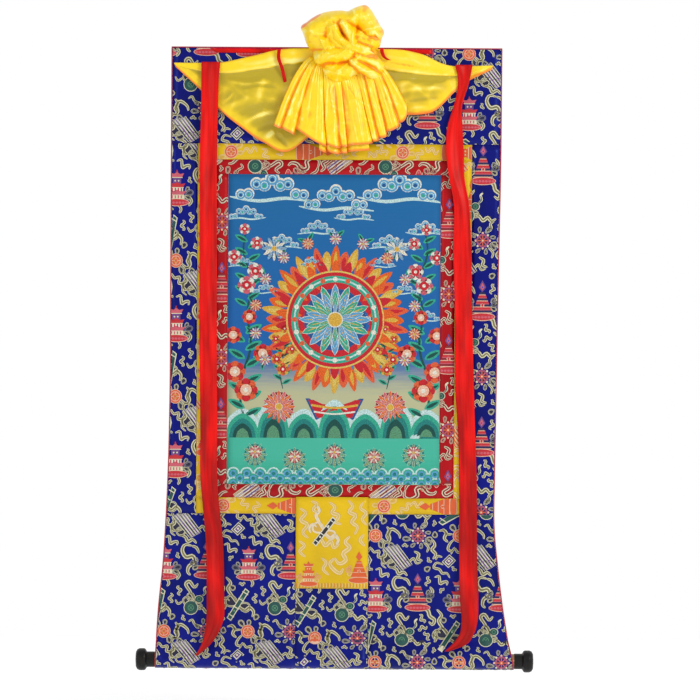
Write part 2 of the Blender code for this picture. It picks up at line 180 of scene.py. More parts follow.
world = bpy.data.worlds.new("studio")
world.use_nodes = True
bpy.context.scene.world = world
backdrop = world.node_tree.nodes["Background"]
sky = Wire(world.node_tree.nodes.new("ShaderNodeTexCoord").outputs["Generated"])
towards_wall = sky.part(1).step(-0.1, 0.5)
plug(backdrop.inputs["Color"], towards_wall.mix((0.55, 0.56, 0.58), (1.0, 1.0, 1.0)))
backdrop.inputs["Strength"].default_value = 1.0


def lamp(name, place, aim, size, watts):
    """A square soft lamp that faces its aim."""
    data = bpy.data.lights.new(name, "AREA")
    data.size, data.energy = size, watts
    made = bpy.data.objects.new(name, data)
    made.location = place
    across, towards = math.hypot(aim[0] - place[0], aim[1] - place[1]), aim[2] - place[2]
    heading = math.atan2(aim[1] - place[1], aim[0] - place[0]) - math.pi / 2
    made.rotation_euler = (math.pi / 2 + math.atan2(towards, across), 0, heading)
    bpy.context.scene.collection.objects.link(made)


lamp("lamp_right", (2.4, -2.6, 0.9), (0.0, 0.0, -0.4), 1.3, 62.0)
lamp("lamp_left", (-2.6, -2.8, 0.2), (0.0, 0.0, -0.7), 1.6, 18.0)

floor_mesh = bpy.data.meshes.new("floor")
floor_mesh.from_pydata([(a * FLOOR_SIDE / 2, b * FLOOR_SIDE / 2, -FLOOR_DROP)
                        for a, b in ((-1, -1), (1, -1), (1, 1), (-1, 1))], [], [(0, 1, 2, 3)])
floor = bpy.data.objects.new("floor", floor_mesh)
bpy.context.scene.collection.objects.link(floor)
floor_finish, shader = start_material("pale_floor")
set_shader(shader, Base_Color=(0.93, 0.93, 0.93), Roughness=0.8,
           Emission_Color=(1.0, 1.0, 1.0), Emission_Strength=0.30)
floor_mesh.materials.append(floor_finish)
floor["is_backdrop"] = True

# ---------------------------------------------------------------- Blue brocade mount
# The mount is royal blue silk brocade, pieced from a panel over the border, a strip down each side
# of it and three foot panels, whose lower ends are turned up round the roller and sewn.
SHEET = 0.002
SEAM = 0.0004
MEET = 0.00004  # sewn pieces stop this far short of their common line
CLOTH_STEP, HEM_STEP = 0.016, 0.0028  # between rows of points where it hangs and round the roller
WAVE_DEPTH = 0.0025
WAVE_ACROSS = 0.52
WAVE_DRIFT = 2.2
WAVE_CALM = 0.20
FLARE_END = 1.21
OUTER = (("down", "left", "right"),
         (0.000, -0.348, 0.349),
         (0.250, -0.348, 0.348),
         (0.500, -0.348, 0.344),
         (0.740, -0.348, 0.341),
         (0.900, -0.351, 0.339),
         (1.020, -0.356, 0.339),
         (1.100, -0.361, 0.347),
         (1.180, -0.369, 0.357),
         (1.243, -0.373, 0.367),
         (1.328, -0.375, 0.381),
         (1.413, -0.373, 0.367))
GOLD_OUTER = (-0.2926, 0.2883, 0.2025, 0.9869)  # left, right, upper edge, lower edge
PATCH = (-0.0806, 0.0731, 0.9508, 1.1448)
ROLLER_DROP = 1.2970
ROLLER_RADIUS = 0.0155
HEM_RADIUS = ROLLER_RADIUS + 2 * SEAM + SHEET / 2
HEM_APEX = 0.040
HEM_TAIL = 0.014
APEX = ROLLER_DROP - HEM_APEX
HEM_LEAN = math.acos(HEM_RADIUS / HEM_APEX)
HEM_RUN = math.sqrt(HEM_APEX ** 2 - HEM_RADIUS ** 2)
HEM_SWEEP = 2 * (math.pi - HEM_LEAN)
TURN_START = APEX + HEM_RUN
TURN_END = TURN_START + HEM_RADIUS * HEM_SWEEP
POCKET_END = TURN_END + HEM_RUN
HEM_END = POCKET_END + HEM_TAIL
HEM_LOWEST = TURN_START + HEM_RADIUS * HEM_SWEEP / 2
FIGURE_END = HEM_END - 0.001  # the figures go on round the roller, nearly to the cut edge


def column(table, name, at):
    """A smooth curve through one column of a table, read at values of its first column: cubic
    spans whose slope at each row is the mean of the slopes beside it."""
    rows = np.array(table[1:], float)
    known, values = rows[:, 0], rows[:, table[0].index(name)]
    slopes = np.gradient(values, known)
    at = np.clip(np.asarray(at, float), known[0], known[-1])
    i = np.clip(np.searchsorted(known, at) - 1, 0, len(known) - 2)
    width = known[i + 1] - known[i]
    t = (at - known[i]) / width
    return ((1 + 2 * t) * (1 - t) ** 2 * values[i] + t * (1 - t) ** 2 * width * slopes[i]
            + t * t * (3 - 2 * t) * values[i + 1] - t * t * (1 - t) * width * slopes[i + 1])


def wave(x, down):
    """How far the hanging sheet stands forward: a sine across, drifting with the drop, that fades
    to nothing at the top edge and at the hem."""
    calm = np.clip(down / WAVE_CALM, 0, 1) * np.clip((FLARE_END - down) / WAVE_CALM, 0, 1)
    return WAVE_DEPTH * calm * np.sin(2 * math.pi * x / WAVE_ACROSS + WAVE_DRIFT * down)


def hem_path(down):
    """The (forward, below) place of the cloth's middle by the distance along it: straight to the
    apex of the pocket, on a tangent to the roller, round under it, up behind, then the tail."""
    along = np.asarray(down, float)
    angle = HEM_LEAN + np.clip((along - TURN_START) / HEM_RADIUS, 0, HEM_SWEEP)
    round_forward, round_down = HEM_RADIUS * np.sin(angle), ROLLER_DROP - HEM_RADIUS * np.cos(angle)
    first = np.clip((along - APEX) / HEM_RUN, 0, 1)
    last = np.clip((along - TURN_END) / HEM_RUN, 0, 1)
    behind = -(SHEET + SEAM)
    forward = np.where(along < TURN_START, first * round_forward,
                       round_forward + last * (behind - round_forward))
    below = np.where(along < TURN_START, np.minimum(along, APEX) + first * (round_down - APEX),
                     round_down + last * (APEX - round_down) - np.clip(along - POCKET_END, 0, None))
    return forward, below


NEARBY = 1e-4  # the step along the cloth that its slope is read over


def on_cloth(x, down, forward=0.0):
    """Points on the hanging cloth, moved off its middle by forward, along the cloth's own normal."""
    place, below = hem_path(down)
    place_next, below_next = hem_path(down + NEARBY)
    fall, out = below_next - below, place_next - place
    length = np.hypot(fall, out)
    y = -(place + wave(x, down) + forward * fall / length)
    z = forward * out / length - below
    return np.stack(np.broadcast_arrays(x, y, z), axis=-1)


def new_mesh(name, points, faces, attributes=None, smooth=True):
    """A mesh object at the origin from arrays of points and faces of one size, with attributes
    given as arrays of (r, g, b) on the points."""
    mesh = bpy.data.meshes.new(name)
    mesh.vertices.add(len(points))
    mesh.vertices.foreach_set("co", np.ascontiguousarray(points, np.float32).ravel())
    size = faces.shape[1]
    mesh.loops.add(faces.size)
    mesh.loops.foreach_set("vertex_index", np.ascontiguousarray(faces, np.int32).ravel())
    mesh.polygons.add(len(faces))
    mesh.polygons.foreach_set("loop_start", np.arange(0, faces.size, size, dtype=np.int32))
    mesh.update(calc_edges=True)
    mesh.polygons.foreach_set("use_smooth", np.full(len(faces), smooth))
    for key, values in (attributes or {}).items():
        layer = mesh.attributes.new(key, "FLOAT_VECTOR", "POINT")
        layer.data.foreach_set("vector", np.ascontiguousarray(values, np.float32).ravel())
    made = bpy.data.objects.new(name, mesh)
    bpy.context.scene.collection.objects.link(made)
    return made


def closed_sheet(name, middle, thickness, marks=None):
    """A closed sheet round a grid of middle points: the grid moved half the thickness along its
    normals to the front and to the back, with a wall round the outside. The "cut" attribute holds
    each point's place on the flat cloth and 0 in front or 1 behind."""
    rows, columns = middle.shape[:2]
    normal = np.cross(np.gradient(middle, axis=0), np.gradient(middle, axis=1))
    normal /= np.maximum(np.linalg.norm(normal, axis=2, keepdims=True), 1e-12)
    points = np.concatenate([(middle + normal * thickness / 2).reshape(-1, 3),
                             (middle - normal * thickness / 2).reshape(-1, 3)])
    behind = rows * columns
    number = np.arange(behind).reshape(rows, columns)
    cells = np.stack([number[:-1, :-1], number[1:, :-1], number[1:, 1:], number[:-1, 1:]], axis=-1)
    cells = cells.reshape(-1, 4)
    rim = np.concatenate([number[:, 0], number[-1, 1:], number[-2::-1, -1], number[0, -2:0:-1]])
    after = np.roll(rim, -1)
    walls = np.stack([after, rim, rim + behind, after + behind], axis=1)
    if marks is None:
        run = np.linalg.norm(np.diff(middle, axis=0, prepend=middle[:1]), axis=2)
        across = np.linalg.norm(np.diff(middle, axis=1, prepend=middle[:, :1]), axis=2)
        marks = np.stack([np.cumsum(across, axis=1), np.cumsum(run, axis=0)], axis=-1)
    flat = marks.reshape(-1, 2)
    cut = np.concatenate([np.c_[flat, np.zeros(behind)], np.c_[flat, np.ones(behind)]])
    return new_mesh(name, points, np.concatenate([cells, cells[:, ::-1] + behind, walls]), {"cut": cut})


def sewn_piece(name, left, right, down, columns, forward=0.0):
    """A piece of the hanging cloth between two edges, each one distance or one for every row."""
    left, right = np.broadcast_to(left, down.shape), np.broadcast_to(right, down.shape)
    x = left[:, None] + (right - left)[:, None] * np.linspace(0, 1, columns)
    down = np.broadcast_to(down[:, None], x.shape)
    return closed_sheet(name, on_cloth(x, down, forward), SHEET, np.stack([x, down], axis=-1))


def spread(marks, step):
    """Numbers that pass through every mark, evenly spaced between them by about the step."""
    parts = [np.linspace(a, b, max(2, int(round((b - a) / step)) + 1))[:-1]
             for a, b in zip(marks[:-1], marks[1:])]
    return np.append(np.concatenate(parts), marks[-1])


def hem_rows(start, end=HEM_END, step=CLOTH_STEP):
    """Distances down the cloth, close together round the roller."""
    dense = APEX - 0.012
    return np.concatenate([spread((start, dense), step), spread((dense, end), HEM_STEP)[1:]])


def grid_piece(name, edges, columns, step=CLOTH_STEP, forward=0.0):
    """A rectangular piece of the cloth."""
    left, right, upper, lower = edges
    down = spread((upper + MEET, lower - MEET), step)
    return sewn_piece(name, left + MEET, right - MEET, down, columns, forward)


top_down = spread((0.0, GOLD_OUTER[2] - MEET), CLOTH_STEP)
strip_down = spread((GOLD_OUTER[2] + MEET, GOLD_OUTER[3] - MEET), CLOTH_STEP)
foot_down = hem_rows(GOLD_OUTER[3] + MEET)
mount = {}
for key, left, right, down, columns in (
        ("top", None, None, top_down, 44),
        ("left", None, GOLD_OUTER[0] - MEET, strip_down, 6),
        ("right", GOLD_OUTER[1] + MEET, None, strip_down, 6),
        ("foot_left", None, PATCH[0] - MEET, foot_down, 20),
        ("foot_centre", PATCH[0] + MEET, PATCH[1] - MEET, foot_down, 12),
        ("foot_right", PATCH[1] + MEET, None, foot_down, 20)):
    left = column(OUTER, "left", down) if left is None else left
    right = column(OUTER, "right", down) if right is None else right
    mount[key] = sewn_piece("mount_" + key, left, right, down, columns)


def satin_ground(name, colour, deep, shine, gleam):
    """Satin ground of a brocade: fine warp lines along the cloth, a slow drift of depth, and a
    duller wrong side crossed by the loose threads of the figures."""
    made, shader = start_material(name)
    cut = mark(shader, "cut")
    drift = cut.noise(9.0, 5.0)
    warp = cut.noise(2600.0, 160.0, 1.0)
    slub = cut.noise(30.0, 1500.0, 1.0)
    side = cut.part(2)
    floats = cut.noise(55.0, 900.0, 2.0).step(0.52, 0.66)
    face = (drift * 1.5 + warp * 0.5 + slub * 0.2 - 0.62).mix(deep, colour)
    wrong = (floats * 0.55).mix(face, (0.42, 0.36, 0.22))
    set_shader(shader, Base_Color=side.mix(face, wrong),
               Roughness=side * 0.2 + (0.40 - 0.14 * drift),
               Specular_IOR_Level=0.5, Specular_Tint=shine,
               Sheen_Weight=gleam, Sheen_Roughness=0.35, Sheen_Tint=shine)
    set_shader(shader, Normal=(warp * 0.6 + slub * 0.4).bump(0.12))
    return made


blue_ground = satin_ground("blue_satin_ground", (0.008, 0.009, 0.235), (0.004, 0.003, 0.060),
                           (0.15, 0.28, 1.0), 0.06)


def fitted(piece, finish, node):
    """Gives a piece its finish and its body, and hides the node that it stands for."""
    piece.data.materials.clear()
    piece.data.materials.append(finish)
    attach(piece, "root")
    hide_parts(node)


def finish_cloth(piece, finish, node, flat):
    """Fits a piece of cloth. Its flat size is not used."""
    fitted(piece, finish, node)


# ---------------------------------------------------------------- Figures of the blue brocade
# The figures are woven in with cream, olive, green, orange and rose silks that stand a little
# proud of the ground. One repeat holds a gourd, a flute, a roundel, a wheel, a sheaf of scrolls, a
# box, a pavilion, a stupa and free ribbons, and the panels are cut at different heights of it.
MM = 0.001
GOLDEN_TURN = 2.399963  # the turn that never comes round to the same heading
REPEAT = (0.178, 0.271)
REPEAT_REACH = 0.13  # a repeat is laid where its gourd falls this near the region
THREAD = 0.00018  # each layer of silk stands this far over the one below
SLIVER = 0.0007  # cut figures narrower than this at an edge are left out
LEAST_AREA = 4e-9  # twice the area of the smallest face that is kept, in square metres
SILKS = {
    "cream": (0.78, 0.74, 0.50), "olive": (0.21, 0.185, 0.07), "white": (0.80, 0.78, 0.66),
    "green": (0.003, 0.075, 0.062), "leaf": (0.10, 0.30, 0.16), "orange": (0.78, 0.115, 0.035),
    "red": (0.60, 0.012, 0.022), "rose": (0.66, 0.11, 0.15), "violet": (0.15, 0.05, 0.24),
    "navy": (0.008, 0.006, 0.07), "gold": (0.72, 0.42, 0.05), "grey": (0.32, 0.31, 0.36),
    "black": (0.012, 0.010, 0.016), "peach": (0.86, 0.52, 0.36), "blue": (0.02, 0.05, 0.50),
    "straw": (0.74, 0.54, 0.12), "teal": (0.01, 0.22, 0.20), "ink": (0.006, 0.004, 0.035),
    "amber": (0.80, 0.50, 0.03), "flame": (0.80, 0.12, 0.01), "wine": (0.25, 0.004, 0.012),
    "blush": (0.90, 0.68, 0.36), "sky": (0.10, 0.36, 0.62), "jade": (0.03, 0.40, 0.26),
    "mist": (0.55, 0.75, 0.72), "deep": (0.01, 0.09, 0.28),
}


def smooth_line(knots, count, closed=False):
    """A smooth curve through the knots, read at even steps: each span is a cubic whose ends lean
    along the line between the knots on either side."""
    knots = np.asarray(knots, float)
    spans = len(knots) if closed else len(knots) - 1
    t = np.linspace(0, spans, count, endpoint=not closed)
    i = np.minimum(t.astype(int), spans - 1)
    f = (t - i)[:, None]
    if closed:
        pick = [knots[(i + k) % len(knots)] for k in (-1, 0, 1, 2)]
    else:
        pick = [knots[np.clip(i + k, 0, len(knots) - 1)] for k in (-1, 0, 1, 2)]
    a, b, c, d = pick
    return 0.5 * (2 * b + (c - a) * f + (2 * a - 5 * b + 4 * c - d) * f ** 2
                  + (3 * b - a - 3 * c + d) * f ** 3)


def band(knots, width, silk, layer=0, taper=0.3, closed=False):
    """A band of silk along a smooth curve. Its width swells from the taper's share at the ends."""
    count = 3 * len(knots) + 1
    line = smooth_line(knots, count, closed)
    if closed:
        line = np.concatenate([line, line[:1]])
        count += 1
    along = np.gradient(line, axis=0)
    if closed:
        along[0] = along[-1] = along[0] + along[-1]
    along /= np.maximum(np.linalg.norm(along, axis=1, keepdims=True), 1e-9)
    t = np.linspace(0, 1, count)
    swell = np.ones(count) if closed else taper + (1 - taper) * np.sin(math.pi * t) ** 0.6
    side = np.stack([-along[:, 1], along[:, 0]], axis=1) * (swell * width / 2)[:, None]
    points = np.concatenate([line + side, line - side])
    n = np.arange(count - 1)
    far = n + count
    halves = [np.stack([n, n + 1, far + 1], axis=1), np.stack([n, far + 1, far], axis=1)]
    return points, np.concatenate(halves), silk, layer


def blot(knots, silk, layer=0, count=None):
    """A filled shape inside a smooth closed line round its middle."""
    return polygon(smooth_line(knots, count or 3 * len(knots), closed=True), silk, layer)


def polygon(corners, silk, layer=0):
    """A filled shape with straight sides round its middle."""
    ring = np.asarray(corners, float)
    points = np.concatenate([ring, ring.mean(axis=0, keepdims=True)])
    n = np.arange(len(ring))
    fan = np.stack([n, (n + 1) % len(ring), np.full(len(ring), len(ring))], axis=1)
    return points, fan, silk, layer


def disc(x, y, radius, silk, layer=0, count=14, flat=1.0):
    turn = 2 * math.pi * np.arange(count) / count
    return polygon(np.stack([x + radius * np.cos(turn), y + flat * radius * np.sin(turn)], axis=1),
                   silk, layer)


def hoop(x, y, radius, width, silk, layer=0, count=16, flat=1.0):
    """A ring, or a squashed one."""
    turn = 2 * math.pi * np.arange(count) / count
    unit = np.stack([np.cos(turn), flat * np.sin(turn)], axis=1)
    points = np.concatenate([unit * (radius + width / 2), unit * (radius - width / 2)]) + (x, y)
    n = np.arange(count)
    m = (n + 1) % count
    halves = [np.stack([n, m, m + count], axis=1), np.stack([n, m + count, n + count], axis=1)]
    return points, np.concatenate(halves), silk, layer


def ribbon_figure(knots, width=6.4, edge="cream", core="olive", layer=0, taper=0.3):
    """A figured ribbon: a dark outline, a pale band and a darker core."""
    return [band(knots, width * 1.5, "ink", layer, taper),
            band(knots, width * 1.12, edge, layer + 1, taper),
            band(knots, width * 0.5, core, layer + 2, 0.1)]


def spin(turn, size=1.0):
    """The matrix that turns rows of (across, down) and sizes them."""
    c, s = math.cos(turn) * size, math.sin(turn) * size
    return np.array([[c, s], [-s, c]])


def petal_loop(x, y, length, turn, width=0.62, edge="cream", core="olive", layer=0):
    """A loop of ribbon off a knot at (x, y): a closed band with a darker core round a dark hollow."""
    s = np.array([0.02, 0.34, 0.74, 0.94, 0.74, 0.34])
    w = np.array([0.0, 0.42, 0.5, 0.0, -0.5, -0.42]) * width * 0.9
    line = np.stack([s, w], axis=1) @ spin(turn, length) + (x, y)
    thick = 2.2 * (length / 12) ** 0.62
    return [blot((line - line.mean(axis=0)) * 1.16 + line.mean(axis=0), "ink", layer),
            band(line, thick, edge, layer + 1, closed=True),
            band(line, thick * 0.42, core, layer + 2, closed=True)]


def place(pieces, x=0.0, y=0.0, turn=0.0, size=1.0, flip=False):
    """The same figure moved, turned, sized and, if asked, mirrored."""
    mirror = (-1.0, 1.0) if flip else (1.0, 1.0)
    return [((points * mirror) @ spin(turn, size) + (x, y), faces, silk, layer)
            for points, faces, silk, layer in pieces]


def gourd(skin="green", rim="cream"):
    """A bottle gourd leaning to the right, tied round its waist with a ribbon."""
    body = [disc(-3, 5, 15.5, rim, 2), disc(-3, 5, 14.0, skin, 3), disc(14, -13, 9.6, rim, 2, flat=0.85),
            disc(14, -13, 8.2, skin, 3, flat=0.85),
            band([(20, -19), (27, -26), (25, -35), (30, -40)], 5.0, rim, 2),
            band([(20, -19), (26.5, -26), (25, -34)], 2.4, skin, 3),
            hoop(-3, 5, 6.0, 1.3, "leaf", 4), band([(-7, 1), (1, 9)], 1.3, "leaf", 4),
            band([(-7, 9), (1, 1)], 1.3, "leaf", 4), hoop(14, -13, 3.6, 1.1, "leaf", 4)]
    knot = (5, -5)
    loops = (petal_loop(*knot, 27, math.radians(196)) + petal_loop(*knot, 25, math.radians(236))
             + petal_loop(*knot, 20, math.radians(38)))
    tails = (ribbon_figure([(8, -6), (-4, -28), (-14, -44), (-6, -50), (4, -38), (12, -46)])
             + ribbon_figure([(8, 0), (22, 6), (30, 15), (40, 9), (48, 16), (58, 11)])
             + ribbon_figure([(-20, -9), (-30, -3), (-36, -12)], 4.2))
    return tails + loops + body


def flute():
    """A banded pipe lying aslant, with a ribbon looped round its middle."""
    pipe = [polygon([(-24, 28), (-15, 35), (24, -28), (15, -35)], "cream", 2),
            polygon([(-21.5, 27.5), (-15.5, 32), (21.5, -27.5), (15.5, -32)], "green", 3)]
    for share in (0.12, 0.34, 0.6, 0.86):
        x, y = 20 - 40 * share, -32 + 64 * share
        pipe.append(band([(x - 6, y - 3.6), (x + 6, y + 3.6)], 2.0, "cream", 4, 1.0))
    pipe += [disc(-8, 13, 2.2, "leaf", 4, 10), disc(8, -13, 2.2, "leaf", 4, 10)]
    loops = (petal_loop(0, 0, 30, math.radians(205), 0.8) + petal_loop(0, 0, 28, math.radians(20), 0.7))
    tails = (ribbon_figure([(0, 0), (-14, -20), (-22, -34), (-16, -46), (-26, -58)])
             + ribbon_figure([(0, 2), (14, 12), (24, 6), (33, 15), (30, 26)])
             + ribbon_figure([(-18, -8), (-27, -14), (-34, -4), (-30, 6)], 4.4))
    return tails + loops + pipe


def roundel():
    """An orange coin with a ring and a cross, and a ribbon curling off each side."""
    coin = [disc(0, 0, 14.5, "peach", 2), disc(0, 0, 13.2, "orange", 3), hoop(0, 0, 9.4, 1.4, "peach", 4),
            hoop(0, 0, 4.2, 1.2, "gold", 4)]
    for k in range(4):
        c, s = math.cos(k * math.pi / 2), math.sin(k * math.pi / 2)
        coin.append(band([(2.2 * c, 2.2 * s), (9 * c, 9 * s)], 1.6, "peach", 4, 1.0))
    tails = (ribbon_figure([(10, 4), (22, 14), (30, 8), (27, -6), (36, -14), (50, -4), (52, 6)])
             + ribbon_figure([(-10, 6), (-20, 16), (-24, 28), (-16, 32), (-10, 24)], 5.0)
             + ribbon_figure([(-14, -4), (-26, -4), (-34, -12), (-44, -10)], 4.6))
    loops = (petal_loop(-8, -10, 17, math.radians(-128)) + petal_loop(2, -12, 13, math.radians(-88))
             + petal_loop(8, 11, 17, math.radians(64)))
    return tails + loops + coin


def wheel():
    """An eight-spoked wheel with knobs on its rim and short flames round it."""
    rim = [hoop(0, 0, 12.0, 3.4, "rose", 3), hoop(0, 0, 12.0, 1.2, "violet", 4),
           disc(0, 0, 10.6, "navy", 2),
           disc(0, 0, 3.6, "orange", 4, 14), disc(0, 0, 1.6, "cream", 5, 10)]
    for k in range(8):
        c, s = math.cos(k * math.pi / 4), math.sin(k * math.pi / 4)
        rim.append(band([(3 * c, 3 * s), (11 * c, 11 * s)], 2.0, "rose" if k % 2 else "orange", 3, 1.0))
        rim.append(disc(15.2 * c, 15.2 * s, 2.4, "cream" if k % 2 else "peach", 3, 8))
        lean = k * math.pi / 4 + 0.35
        rim += petal_loop(17 * math.cos(lean), 17 * math.sin(lean), 12 + 5 * (k % 3 == 0), lean + 0.5,
                          0.5, "cream", "navy", 1)
    tails = (ribbon_figure([(-12, -12), (-24, -14), (-30, -24), (-38, -20)], 4.4)
             + ribbon_figure([(12, 14), (22, 24), (19, 35)], 4.6))
    return tails + rim


def sheaf():
    """A sheaf of narrow scrolls, tied aslant, with a looped ribbon on its left."""
    sheets = []
    for k in range(5):
        off = 6.6 * (k - 2)
        line = [(-20 + off, -20 - off * 0.25), (-6 + off * 0.9, -2 - off * 0.3),
                (16 + off * 0.75, 26 - off * 0.45)]
        sheets += [band(line, 6.2, "white" if k % 2 else "cream", 2, 0.7),
                   band(line, 3.2, "violet" if k % 2 else "navy", 3, 0.7),
                   band(line[:2], 1.1, "grey", 4, 0.8)]
    loops = (petal_loop(-6, 6, 32, math.radians(182), 0.75) + petal_loop(-4, 8, 26, math.radians(142), 0.7)
             + petal_loop(2, 8, 21, math.radians(66), 0.6))
    tails = (ribbon_figure([(4, 4), (20, 12), (30, 6), (36, 16), (46, 14)], 4.6)
             + ribbon_figure([(-24, -8), (-34, -18), (-30, -28), (-20, -26)], 4.6))
    return tails + loops + sheets


def box_figure():
    """A small framed box set aslant, with a ribbon that zigzags from each end."""
    frame_shape = [(-15, 2), (1, -14), (15, -1), (-1, 15)]
    inner = [(-9.5, 2), (1, -8.5), (9.5, -1), (-1, 9.5)]
    box = [polygon(frame_shape, "cream", 2),
           polygon([(x * 0.84, y * 0.84) for x, y in frame_shape], "navy", 3),
           polygon(inner, "white", 4), polygon([(x * 0.7, y * 0.7) for x, y in inner], "violet", 5),
           disc(0, 0, 2.4, "cream", 6, 10)]
    tails = (ribbon_figure([(4, -14), (12, -26), (19, -18), (30, -20), (28, -8), (38, -6), (36, 8),
                            (45, 16)], 5.0)
             + ribbon_figure([(-12, 8), (-26, 4), (-32, 14), (-20, 18), (-14, 26), (-4, 26), (2, 36)],
                             5.0)
             + ribbon_figure([(-14, -8), (-24, -10), (-28, -2)], 4.2))
    return tails + box


def lotus_base(y, width, silk="red"):
    """A flat lotus seat: a squashed disc with a row of petals round its rim."""
    seat = [disc(0, y, width / 2 + 1.4, "peach", 2, 26, 0.30), disc(0, y, width / 2, silk, 3, 26, 0.26)]
    for k in range(7):
        x = width * (k - 3) / 7.4
        seat.append(disc(x, y + 0.6, width / 17, "rose", 4, 9, 0.8))
    return seat


def side_leaves(y, reach):
    """A curled leaf on each side of a tower's foot."""
    leaf = (petal_loop(reach * 0.55, y, 17, math.radians(-14), 0.6, "grey", "navy", 1)
            + petal_loop(reach * 0.5, y + 4, 14, math.radians(24), 0.6, "cream", "olive", 1)
            + petal_loop(reach * 0.55, y - 5, 11, math.radians(-52), 0.6, "cream", "navy", 1))
    return leaf + place(leaf, flip=True)


def pavilion():
    """A two-roofed pavilion on a lotus seat."""
    tower = [band([(0, -34), (0, -26)], 3.0, "red", 3, 0.2), disc(0, -28, 2.6, "rose", 3, 10)]
    for top, half, silk in ((-24, 15, "rose"), (-4, 18, "red"), (11, 20, "rose")):
        tower += [polygon([(-half, top - 3), (-half * 0.72, top + 5), (half * 0.72, top + 5),
                           (half, top - 3), (half * 0.5, top - 1), (0, top - 5),
                           (-half * 0.5, top - 1)], silk, 4),
                  band([(-half * 0.8, top + 5.6), (half * 0.8, top + 5.6)], 1.5, "cream", 5, 1.0)]
    tower += [polygon([(-9, -18), (-9, -6), (9, -6), (9, -18)], "violet", 3),
              polygon([(-13, 1), (-13, 9), (13, 9), (13, 1)], "white", 3),
              polygon([(-15, 16), (-17, 24), (17, 24), (15, 16)], "cream", 3)]
    for k in range(4):
        x = -9.6 + 6.4 * k
        tower += [band([(x, 2), (x, 9)], 2.4, "red", 5, 1.0),
                  band([(x, 17), (x, 23)], 2.4, "rose", 5, 1.0)]
    tower += [disc(-3.6, -12, 1.8, "cream", 5, 8), disc(3.6, -12, 1.8, "cream", 5, 8)]
    return side_leaves(14, 34) + tower + lotus_base(31, 50)


def stupa():
    """A stepped stupa with a flaming jewel on top, on a lotus seat."""
    tower = [polygon([(0, -48), (-8, -34), (0, -24), (8, -34)], "violet", 3),
             polygon([(0, -43), (-4.6, -34), (0, -28), (4.6, -34)], "rose", 4),
             disc(0, -34, 1.7, "blue", 5, 8)]
    for k in range(7):
        half, top = 5.5 + 2.3 * k, -24 + 6.0 * k
        tower += [polygon([(-half, top), (-half - 1.5, top + 5), (half + 1.5, top + 5), (half, top)],
                          "red" if k % 2 else "navy", 3),
                  band([(-half - 1.6, top + 5.2), (half + 1.6, top + 5.2)], 1.5,
                       "rose" if k % 2 else "peach", 4, 0.9)]
    tower += [disc(0, 2, 4.2, "peach", 4, 12), disc(0, 2, 2.4, "red", 5, 10)]
    return side_leaves(2, 34) + tower + lotus_base(25, 52)


def free_ribbons():
    """Ribbons that float in the gaps of the repeat, and short curls between them."""
    paths = (([(24, -86), (31, -76), (42, -78), (40, -66), (52, -58), (56, -46), (66, -38), (62, -28),
               (54, -34)], 7.4),
             ([(-2, -126), (-16, -128), (-22, -116), (-14, -102), (0, -104), (4, -92), (-8, -82),
               (-10, -70), (-4, -64)], 7.6),
             ([(-2, -126), (8, -122), (14, -110)], 5.2), ([(-58, -60), (-50, -48), (-54, -40)], 5.0),
             ([(40, 34), (48, 30), (46, 22), (54, 16)], 5.0),
             ([(-36, 36), (-30, 46), (-36, 56), (-30, 66)], 6.0),
             ([(60, 62), (66, 74), (60, 84), (68, 94), (62, 104)], 6.4),
             ([(22, 88), (32, 94), (30, 104), (40, 108)], 6.0),
             ([(-44, 84), (-38, 96), (-46, 104), (-40, 116)], 6.0), ([(62, -8), (70, 0), (66, 10)], 5.4),
             ([(-34, -74), (-28, -64), (-34, -54)], 5.4),
             ([(-96, 40), (-88, 48), (-92, 60), (-84, 68)], 5.8),
             ([(-28, 122), (-16, 126), (-10, 136), (0, 132), (8, 140)], 6.2),
             ([(56, -108), (62, -98), (56, -88)], 5.6))
    laid = []
    for knots, width in paths:
        laid += ribbon_figure(knots, width)
    for x, y, turn in ((48, 60, 20), (-20, 78, 200), (66, 46, 90), (-98, -42, 40), (56, 122, 150),
                       (-46, 30, 300)):
        laid += petal_loop(x, y, 13, math.radians(turn), 0.8)
    return laid


def filled_gaps(pieces):
    """Curls of ribbon wherever the repeat still has room: places and turns in a golden-ratio order,
    each kept if all its knots are clear of the figures, counted across the repeat's edges."""
    wrap = np.array(REPEAT) / MM
    taken = np.concatenate([points for points, *_ in pieces])
    curl = np.array([(-17, 4), (-10, -5), (-2, 3), (4, 8), (8, 0), (15, -6), (19, 2)])
    laid = []
    for size, clearance, tries in ((1.15, 6.4, 350), (0.85, 5.8, 450), (0.55, 5.0, 500), (0.34, 4.6, 400)):
        for n in range(tries):
            spot = np.array([n * 0.7548777 % 1, n * 0.5698403 % 1]) * wrap
            knots = curl @ spin(GOLDEN_TURN * n, size) + spot
            gap = knots[:, None] - taken
            gap -= wrap * np.round(gap / wrap)
            if (gap ** 2).sum(axis=-1).min() > clearance ** 2:
                added = ribbon_figure(knots, 3.6 + 2.6 * size)[1:]
                laid += added
                taken = np.concatenate([taken, added[0][0]])
    return laid


def brocade_repeat():
    """One repeat of the mount's figures, in millimetres about the gourd."""
    figures = (free_ribbons() + gourd() + place(flute(), -81, -2) + place(roundel(), -60, 55)
               + place(wheel(), 30, 55) + place(sheaf(), -9, 97) + place(box_figure(), -82, 108)
               + place(pavilion(), -59, -92) + place(stupa(), 30, -89))
    return filled_gaps(figures) + figures


